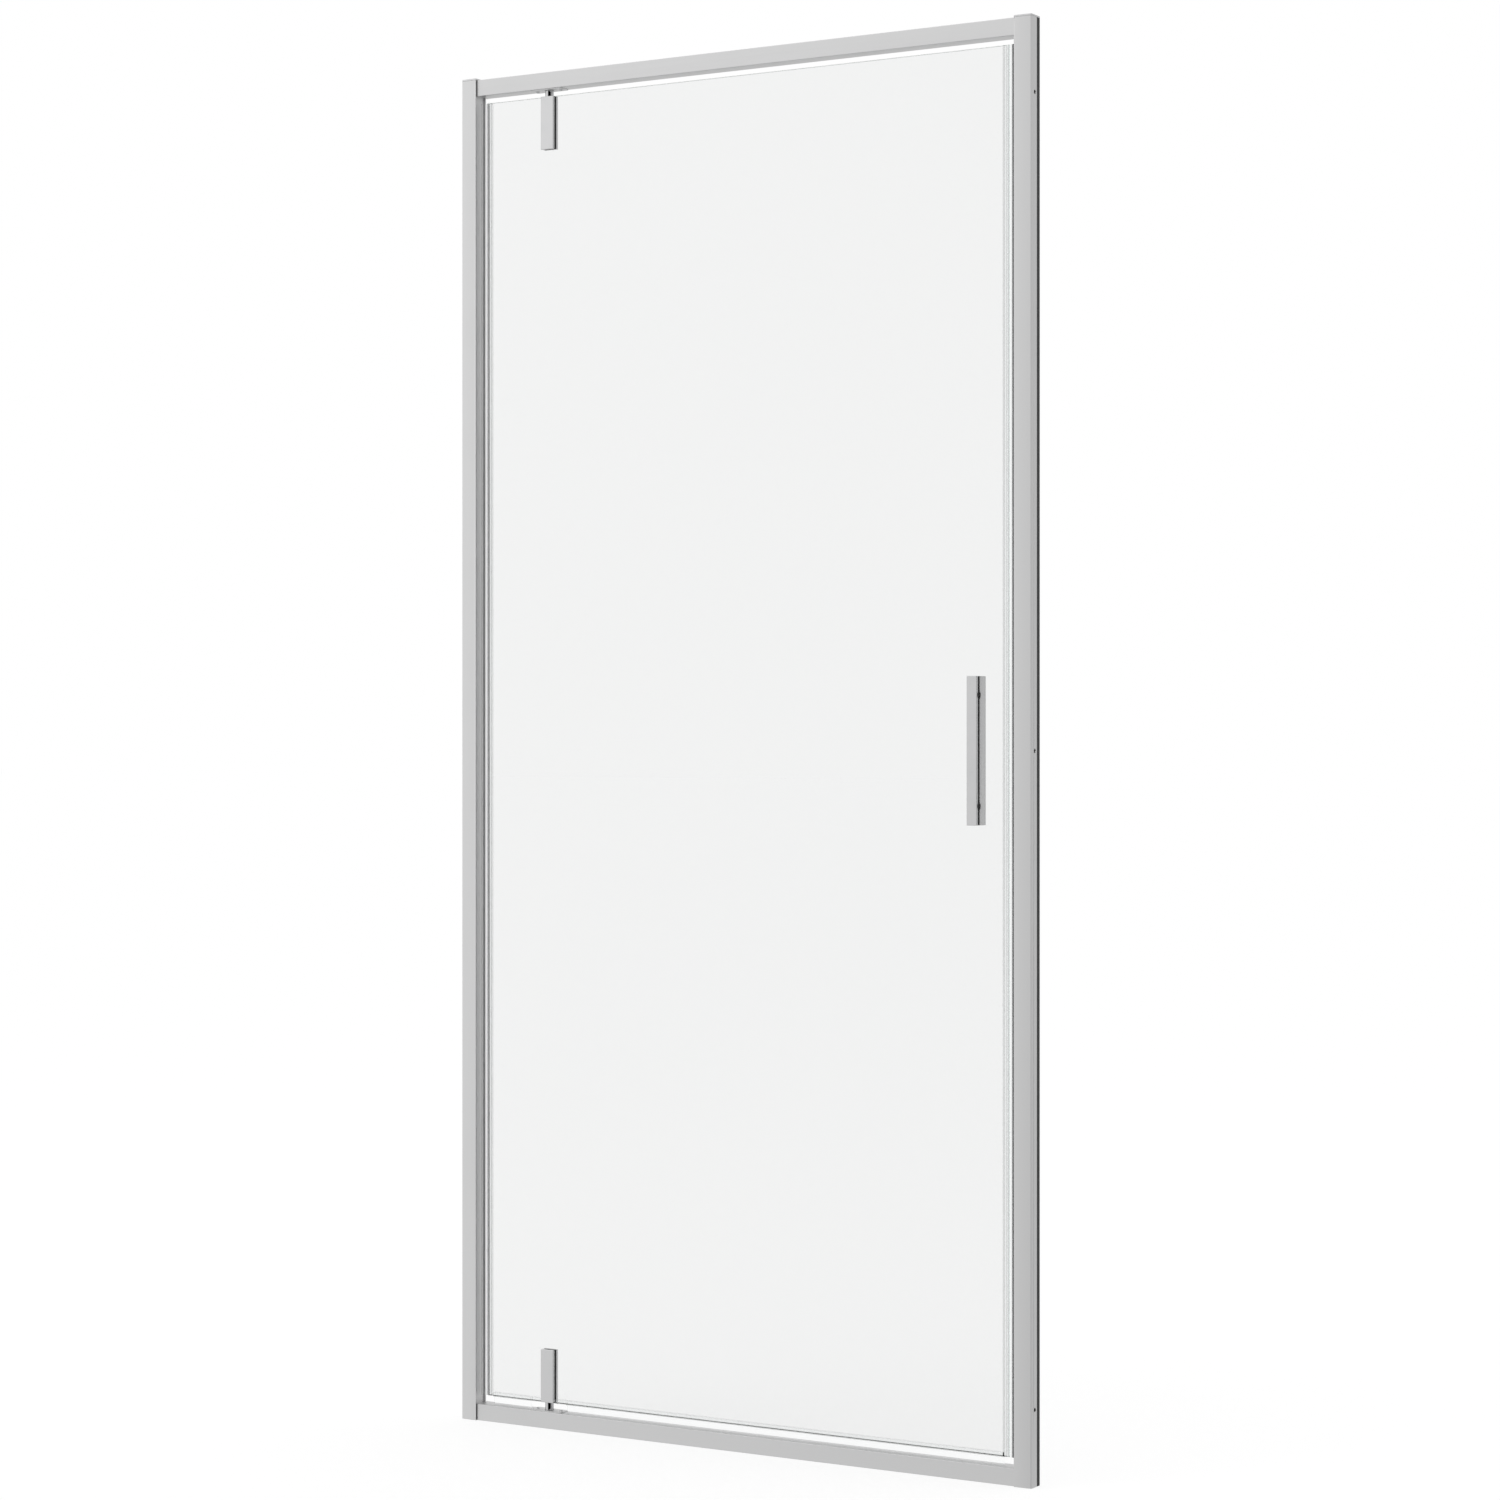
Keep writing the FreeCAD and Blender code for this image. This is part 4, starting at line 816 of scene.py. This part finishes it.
low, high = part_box("bottom_seal_short")
bottom_seal("bottom_seal_short", low.x, low.x, pivot - FIN_FROM_PIVOT, high.x)
low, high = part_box("bottom_seal_long")
bottom_seal("bottom_seal_long", low.x, pivot + FIN_FROM_PIVOT, high.x, high.x)

# %% [markdown]
# Two magnet strips face each other and hold the leaf shut: one in the strike seal, one behind a clear
# carrier on the post. A bonded magnet is extruded like the seals, so it is drawn the same way.

# %% Magnets and their carrier
MAGNET_ROUND = 0.4 * MM


def magnet_strip(node, body):
    """A bonded magnet with rounded edges."""
    low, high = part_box(node)
    outline = box_outline((low.x, low.y), (high.x, high.y), MAGNET_ROUND)
    settle(f"{node}_strip", drawn([outline], (low.z, high.z)), body, "magnet", node)


magnet_strip("leaf_magnet", "leaf")
magnet_strip("strike_magnet", "frame")

low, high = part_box("strike_carrier")
front_wall = low.x + SEAL_WALL
outline = [(high.x, low.y), (high.x, low.y + SEAL_WALL), (front_wall, low.y + SEAL_WALL)]
outline += [(front_wall, high.y - SEAL_WALL), (high.x, high.y - SEAL_WALL), (high.x, high.y)]
outline += [(low.x, high.y), (low.x, low.y)]
mesh = drawn([rounded(outline, CLIP_ROUND)], (low.z, high.z))
settle("strike_carrier_strip", mesh, "frame", "clear_seal", "strike_carrier")

# %% [markdown]
# The black strip between a wall channel and the wall is ribbed, so that it can follow an uneven wall. A
# bump in the finish could suggest the ribs, but it would vanish at the ends, so they are part of the
# outline.

# %% Ribbed wall strips
RIBS = 7
RIB_DEPTH = 0.35 * MM
RIB_ROUND = 0.15 * MM
RIB_STEPS = 2
RIB_FOOT = (0.02, 0.98)
RIB_TOP = (0.3, 0.7)


def sides_of(low, high):
    """The sign of a post's side of the door, and where its inner face and its wall side are."""
    side = math.copysign(1, low.x)
    return (side, low.x, high.x) if side > 0 else (side, high.x, low.x)


def ribbed_strip(node):
    """A strip that is flat in its groove and has ribs towards the wall."""
    low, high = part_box(node)
    side, inner, wall = sides_of(low, high)
    dip = wall - side * RIB_DEPTH
    pitch = (high.y - low.y) / RIBS
    outline = [(inner, high.y), (inner, low.y)]
    for rib in range(RIBS):
        start = low.y + rib * pitch
        outline += [(dip, start + RIB_FOOT[0] * pitch), (wall, start + RIB_TOP[0] * pitch)]
        outline += [(wall, start + RIB_TOP[1] * pitch), (dip, start + RIB_FOOT[1] * pitch)]
    mesh = drawn([rounded(outline, RIB_ROUND, RIB_STEPS)], (low.z, high.z))
    settle(f"{node}_ribbed", mesh, "frame", "black_rubber", node)


ribbed_strip("wall_gasket_left")
ribbed_strip("wall_gasket_right")

# %% [markdown]
# A thin black strip lies in the joint where a rail meets a post. It is painted shade: a dark piece where
# the gap lies in shadow. A dark line in the finish would be simpler, but the strip stands a little proud
# of the rail, in front and behind, so it is a piece.

# %% Joint strips of the rails
JOINT_WIDTH = 0.8 * MM
JOINT_PROUD = 0.5 * MM
JOINT_ROUND = 0.15 * MM
post_face = -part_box("wall_channel_left")[1].x


def joint_shade_strips(rail):
    """Four dark strips of painted shade, at the front and the rear of both ends of a rail."""
    low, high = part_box(rail)
    mesh = bmesh.new()
    for left, right in ((-post_face, JOINT_WIDTH - post_face), (post_face - JOINT_WIDTH, post_face)):
        for near, far in ((low.y - JOINT_PROUD, low.y), (high.y, high.y + JOINT_PROUD)):
            draw_out(mesh, [box_outline((left, near), (right, far), JOINT_ROUND)], (low.z, high.z))
    settle(f"{rail}_joint_shade", mesh, "frame", "black_rubber")


joint_shade_strips("header_rail")
joint_shade_strips("sill_rail")

# %% [markdown]
# Between each clamp plate and the glass lies a thin rubber pad. It is cut out where the pin's tongue
# enters the glass, like a horseshoe. A Boolean could cut the slot, but one outline with an arc in it is
# cleaner.

# %% Clamp pads
PAD_THICKNESS = 0.8 * MM
SLOT_WIDTH = 14.4 * MM
SLOT_CENTRE_DROP = 33.3 * MM
PAD_ROUND = 1.2 * MM
SLOT_STEPS = 16


def clamp_pads(node, edge, inward):
    """Both pads of a clamp; the slot opens at the glass edge."""
    low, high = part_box(node)
    near, far = (low.z, high.z) if inward > 0 else (high.z, low.z)
    slot_centre = (pivot, edge + inward * SLOT_CENTRE_DROP)
    half = SLOT_WIDTH / 2
    end = arc(slot_centre, half, math.pi, math.pi - inward * math.pi, SLOT_STEPS)
    outline = [(low.x, near), (pivot - half, near), *end, (pivot + half, near)]
    outline += [(high.x, near), (high.x, far), (low.x, far)]
    mesh = bmesh.new()
    for span in ((low.y, low.y + PAD_THICKNESS), (high.y - PAD_THICKNESS, high.y)):
        draw_out(mesh, [rounded(outline, PAD_ROUND)], span, "XZY")
    settle(f"{node}_pads", mesh, "leaf", "black_rubber", node)


clamp_pads("clamp_gaskets_bottom", glass_low.z, 1)
clamp_pads("clamp_gaskets_top", glass_high.z, -1)

# %% [markdown]
# Some pieces need a cut that no outline gives. A Boolean takes a cutter away from a solid, and what is
# left can then be copied to each of its places.

# %% Tools for cut pieces
def as_data(mesh):
    """A mesh that Blender can use, from one in the making."""
    data = bpy.data.meshes.new("work")
    mesh.to_mesh(data)
    mesh.free()
    return data


def cut_away(mesh, cutter):
    """What is left of a solid when a cutter is taken from it."""
    solid = bpy.data.objects.new("solid", as_data(mesh))
    tool = bpy.data.objects.new("tool", as_data(cutter))
    for thing in (solid, tool):
        bpy.context.collection.objects.link(thing)
    boolean = solid.modifiers.new("cut", "BOOLEAN")
    boolean.operation = "DIFFERENCE"
    boolean.object = tool
    done = bpy.data.meshes.new_from_object(solid.evaluated_get(bpy.context.evaluated_depsgraph_get()))
    for thing in (solid, tool):
        bpy.data.objects.remove(thing)
    return done


def copies(data, places):
    """One mesh with a copy of a solid at each place."""
    mesh = bmesh.new()
    for place in places:
        start = len(mesh.verts)
        mesh.from_mesh(data)
        mesh.verts.ensure_lookup_table()
        bmesh.ops.transform(mesh, matrix=place, verts=mesh.verts[start:])
    return mesh


# %% [markdown]
# The front of a post isn't quite flat: it falls away a little towards the wall and ends in a soft round
# corner, which gives the post its shaded look. The CAD's front is flat. This outline, seen from above,
# serves the channel, its cap and the seam between them.

# %% Outline of a post
CROWN_TILT = math.radians(5)
CROWN_STEPS = 10
CORNER_RADIUS = 2 * MM
CORNER_STEPS = 14


def post_outline(low, high, by=0.0):
    """The post seen from above, grown by a little: crown, round corner and two rear corners."""
    side, inner, wall = sides_of(low, high)
    end = high.x - low.x - CORNER_RADIUS * (1 - math.sin(CROWN_TILT))
    drop = end * math.tan(CROWN_TILT) / 2
    line = [(-by, -by)]
    for step in range(1, CROWN_STEPS + 1):
        share = step / CROWN_STEPS
        tilt = math.atan(math.tan(CROWN_TILT) * share)
        line.append((end * share + by * math.sin(tilt), drop * share ** 2 - by * math.cos(tilt)))
    centre = (end - CORNER_RADIUS * math.sin(CROWN_TILT), drop + CORNER_RADIUS * math.cos(CROWN_TILT))
    line += arc(centre, CORNER_RADIUS + by, CROWN_TILT - QUARTER_TURN, 0, CORNER_STEPS)[1:]
    outline = [(inner + side * across, low.y + depth) for across, depth in line]
    return outline + [(wall + side * by, high.y + by), (inner - side * by, high.y + by)]


print("a post's outline has", len(post_outline(*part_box("wall_channel_left"))), "points")

# %% [markdown]
# A channel drawn anew would need its holes and its groove again, so a copy of the CAD channel is trimmed
# with a cutter that follows the crown. The cutter stays a hair outside the outline, so that it doesn't
# lie on the channel's own faces.

# %% Crowned channels
CUTTER_MARGIN = 2 * MM
CUTTER_PROUD = 0.002 * MM
SAME_POINT = 0.0005 * MM
REAR_CORNERS = 2


def crowned_channel(node):
    """The CAD channel with its front trimmed to the crown."""
    low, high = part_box(node)
    side, inner, wall = sides_of(low, high)
    front = post_outline(low, high, CUTTER_PROUD)[:-REAR_CORNERS]
    outside, before = wall + side * CUTTER_MARGIN, low.y - CUTTER_MARGIN
    section = [*front, (outside, front[-1][1]), (outside, before), (inner - side * CUTTER_MARGIN, before)]
    cutter = drawn([section], (low.z - CUTTER_MARGIN, high.z + CUTTER_MARGIN))
    mesh = bmesh.new()
    mesh.from_mesh(frame["nodes"][node].data)
    bmesh.ops.remove_doubles(mesh, verts=mesh.verts, dist=SAME_POINT)
    trimmed = copies(cut_away(mesh, cutter), [Matrix()])
    settle(f"{node}_crowned", trimmed, "frame", "bright_profile", node)


crowned_channel("wall_channel_left")
crowned_channel("wall_channel_right")

# %% [markdown]
# A cap is a plate with the post's outline and a hollow plug below it that sits in the channel. A bevel
# could round the plate's upper edge, but rings of the same outline do it without a choice of edges. The
# plug's sides are measured on the foot of the CAD cap.

# %% Crowned caps
CAP_ROUND = 0.6 * MM
CAP_ROUND_STEPS = 3
PLUG_WALL = 1.6 * MM


def cap_plate(mesh, low, high, top):
    """Add a cap's plate to a mesh, from the end of the channel to the top."""
    levels = [(0, high.z)]
    for step in range(CAP_ROUND_STEPS + 1):
        angle = QUARTER_TURN * step / CAP_ROUND_STEPS
        levels.append((CAP_ROUND * (math.cos(angle) - 1), top + CAP_ROUND * (math.sin(angle) - 1)))
    rings = []
    for by, level in levels:
        rings.append([mesh.verts.new((*point, level)) for point in post_outline(low, high, by)])
    for lower, upper in zip(rings, rings[1:]):
        for index in range(len(lower)):
            mesh.faces.new((lower[index - 1], lower[index], upper[index], upper[index - 1]))
    mesh.faces.new(rings[0])
    mesh.faces.new(rings[-1])


def crowned_cap(node, channel):
    """A cap's plate and the hollow plug below it."""
    low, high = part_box(channel)
    cap_low, cap_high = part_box(node)
    mesh = bmesh.new()
    cap_plate(mesh, low, high, cap_high.z)
    foot = [vertex.co for vertex in frame["nodes"][node].data.vertices if vertex.co.z < cap_low.z + MM]
    plug = [(min(corner[axis] for corner in foot), max(corner[axis] for corner in foot)) for axis in (0, 1)]
    loops = []
    for inset in (0, PLUG_WALL):
        (left, right), (near, far) = ((least + inset, most - inset) for least, most in plug)
        loops.append([(left, near), (right, near), (right, far), (left, far)])
    draw_out(mesh, loops, (cap_low.z, high.z))
    settle(f"{node}_crowned", mesh, "frame", "cap_plastic", node)


crowned_cap("top_cap_left", "wall_channel_left")
crowned_cap("top_cap_right", "wall_channel_right")

# %% [markdown]
# The caps of the posts are moulded apart from the profiles, so a fine gap runs round each post below
# the cap's plate. A real gap would be too fine to show its shadow, so the shade is painted as a thin dark
# ring.

# %% Seams below the caps
SEAM_HEIGHT = 0.25 * MM
SEAM_PROUD = 0.02 * MM
SEAM_DEPTH = 0.3 * MM

# Painted shade: one thin dark ring per post, where the gap below the cap lies in shadow.
mesh = bmesh.new()
for node in ("wall_channel_left", "wall_channel_right"):
    low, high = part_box(node)
    loops = [post_outline(low, high, by) for by in (SEAM_PROUD, -SEAM_DEPTH)]
    draw_out(mesh, loops, (high.z - SEAM_HEIGHT / 2, high.z + SEAM_HEIGHT / 2))
settle("cap_seam_shade", mesh, "frame", "black_rubber")

# %% [markdown]
# The adjusting screws and the bearing plates' screws are pan heads with a cross. They are turned, as on
# a lathe: half an outline goes round an axis. A thread could be a helix, but plain ridges look the same
# at this size. The cross is one outline of twelve corners, which a cutter takes out of the head.

# %% Pan-head screws
LATHE_STEPS = 32
THREAD_PITCH = 0.9 * MM
THREAD_DEPTH = 0.25 * MM
CROSS_ARMS = 4
CROSS_ARM = 0.30
CROSS_SLOT = 0.085
CROSS_DEPTH = 0.6
DOME_STEPS = 6
DOME_SHARE = 0.7


def turned(profile):
    """A solid turned round Z from a half outline that starts and ends on the axis, or closes on itself."""
    mesh = bmesh.new()
    rings = []
    for radius, height in profile:
        if radius == 0:
            rings.append([mesh.verts.new((0, 0, height))])
            continue
        circle = arc((0, 0), radius, 0, math.tau, LATHE_STEPS)[:-1]
        rings.append([mesh.verts.new((*point, height)) for point in circle])
    closed = profile[0][0] != 0
    for lower, upper in zip(rings, rings[1:] + (rings[:1] if closed else [])):
        for step in range(LATHE_STEPS):
            after = (step + 1) % LATHE_STEPS
            corners = [lower[step % len(lower)], lower[after % len(lower)]]
            corners += [upper[after % len(upper)], upper[step % len(upper)]]
            mesh.faces.new(list(dict.fromkeys(corners)))
    bmesh.ops.recalc_face_normals(mesh, faces=mesh.faces)
    return mesh


def pan_head(shank, length, head, height):
    """A screw along Z with its seat at the origin, its shank below and a domed head above."""
    core = shank - THREAD_DEPTH
    profile = [(0, -length), (core, -length)]
    for ridge in range(int(length / THREAD_PITCH)):
        low = -length + ridge * THREAD_PITCH
        profile += [(shank, low + THREAD_PITCH / 2), (core, low + THREAD_PITCH)]
    rim = height * (1 - DOME_SHARE)
    profile += [(core, 0), (head, 0), (head, rim)]
    for step in range(1, DOME_STEPS + 1):
        angle = QUARTER_TURN * step / DOME_STEPS
        radius = 0 if step == DOME_STEPS else head * math.cos(angle)
        profile.append((radius, rim + DOME_SHARE * height * math.sin(angle)))
    arm = 2 * head * CROSS_ARM
    slot = 2 * head * CROSS_SLOT
    quarter = [(arm, -slot), (arm, slot), (slot, slot)]
    cross = []
    for _ in range(CROSS_ARMS):
        cross += quarter
        quarter = [(-y, x) for x, y in quarter]
    return cut_away(turned(profile), drawn([cross], (height * (1 - CROSS_DEPTH), 2 * height)))


TO_REAR = Matrix.Rotation(-QUARTER_TURN, 4, "X")
ADJUSTER_SHANK = 1.95 * MM
ADJUSTER_HEAD = 4 * MM
ADJUSTER_RISE = 2 * MM

low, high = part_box("adjusting_screws")
screw = pan_head(ADJUSTER_SHANK, high.y - low.y - ADJUSTER_RISE, ADJUSTER_HEAD, ADJUSTER_RISE)
places = []
for x in (low.x + ADJUSTER_HEAD, high.x - ADJUSTER_HEAD):
    for z in (low.z + ADJUSTER_HEAD, (low.z + high.z) / 2, high.z - ADJUSTER_HEAD):
        places.append(Matrix.Translation((x, high.y - ADJUSTER_RISE, z)) @ TO_REAR)
settle("adjusting_screw_set", copies(screw, places), "frame", "steel", "adjusting_screws")

# %% [markdown]
# The bearing plates are held by the same kind of screw, only smaller: two look up from the sill, two
# look down from the header.

# %% Screws of the bearing plates
DOWNWARDS = Matrix.Rotation(math.pi, 4, "X")
BEARING_SHANK = 1.45 * MM
BEARING_HEAD = 2.8 * MM
BEARING_RISE = 1.4 * MM

low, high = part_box("bearing_screws")
plate_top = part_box("bearing_plate_bottom")[1].z
plate_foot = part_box("bearing_plate_top")[0].z
screw = pan_head(BEARING_SHANK, plate_top - low.z, BEARING_HEAD, BEARING_RISE)
places = []
for x in (low.x + BEARING_HEAD, high.x - BEARING_HEAD):
    places.append(Matrix.Translation((x, 0, plate_top)))
    places.append(Matrix.Translation((x, 0, plate_foot)) @ DOWNWARDS)
settle("bearing_screw_set", copies(screw, places), "frame", "steel", "bearing_screws")

# %% [markdown]
# The handle stands on rubber rings, a little wider than the bar, so that no metal touches the glass. A
# torus would be too round for them, so a flat outline with soft corners goes round the axis.

# %% Handle rings
RING_THICKNESS = 1 * MM
RING_BORE = 3.05 * MM
RING_ROUND = 0.35 * MM

low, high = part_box("handle_washers")
ring_radius = (high.x - low.x) / 2
bar_middle = low.x + ring_radius
lower_ring, upper_ring = low.z + ring_radius, high.z - ring_radius
section = box_outline((RING_BORE, 0), (ring_radius, RING_THICKNESS), RING_ROUND)
ring = as_data(turned(section))
places = []
for z in (lower_ring, upper_ring):
    for y in (low.y, high.y - RING_THICKNESS):
        places.append(Matrix.Translation((bar_middle, y, z)) @ TO_REAR)
settle("handle_rings", copies(ring, places), "leaf", "black_rubber", "handle_washers")

# %% [markdown]
# Above, between and below the rings, flat black rubber strips fill the gap from the metal to the glass.
# They stand in for the shade in that gap, as painted shade. Where a strip meets a ring, its end is
# hollowed to fit round it.

# %% Handle pads
STRIP_INSET = 0.4 * MM
STRIP_PLAY = 0.05 * MM
HOLLOW_STEPS = 12
plate_low, plate_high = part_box("handle_front_plate")
half = (plate_high.x - plate_low.x) / 2 - STRIP_INSET
hollow = ring_radius + STRIP_PLAY
spread = math.asin(half / hollow)


def hollow_end(ring_height, side):
    """The end of a strip that lies above a ring (side 1) or below it (side -1), along the outline."""
    start = side * (QUARTER_TURN + spread)
    return arc((bar_middle, ring_height), hollow, start, start - 2 * side * spread, HOLLOW_STEPS)


left, right = bar_middle - half, bar_middle + half
foot, head = plate_low.z + STRIP_INSET, plate_high.z - STRIP_INSET
strips = [
    [(left, foot), (right, foot), *hollow_end(lower_ring, -1)[::-1]],
    [*hollow_end(lower_ring, 1), *hollow_end(upper_ring, -1)[::-1]],
    [*hollow_end(upper_ring, 1), (right, head), (left, head)],
]
# Painted shade: dark strips where the gap behind the handle lies in shadow.
mesh = bmesh.new()
for start, end in ((low.y, low.y + RING_THICKNESS), (high.y - RING_THICKNESS, high.y)):
    for outline in strips:
        draw_out(mesh, [outline], (start + STRIP_PLAY, end - STRIP_PLAY), "XZY")
settle("handle_shade_pads", mesh, "leaf", "black_rubber")

# %% [markdown]
# Two small set screws in the handle's side hold the bar on its studs. Each has a hexagon socket. The
# hexagon is turned a little, so that its corners don't fall on the edges of the turned screw.

# %% Set screws of the handle
TO_LEFT = Matrix.Rotation(-QUARTER_TURN, 4, "Y")
SOCKET_RADIUS = 1.15 * MM
SOCKET_DEPTH = 1.6 * MM
SOCKET_TURN = math.radians(5)
HEXAGON = 6
POINT_CHAMFER = 0.6 * MM

low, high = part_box("handle_set_screws")
radius = (high.y - low.y) / 2
length = high.x - low.x
section = [(0, 0), (radius - POINT_CHAMFER, 0), (radius, POINT_CHAMFER), (radius, length), (0, length)]
hexagon = arc((0, 0), SOCKET_RADIUS, SOCKET_TURN, SOCKET_TURN + math.tau, HEXAGON)[:-1]
grub = cut_away(turned(section), drawn([hexagon], (length - SOCKET_DEPTH, length + SOCKET_DEPTH)))
places = []
for z in (low.z + radius, high.z - radius):
    places.append(Matrix.Translation((high.x, (low.y + high.y) / 2, z)) @ TO_LEFT)
settle("handle_grub_screws", copies(grub, places), "leaf", "steel", "handle_set_screws")
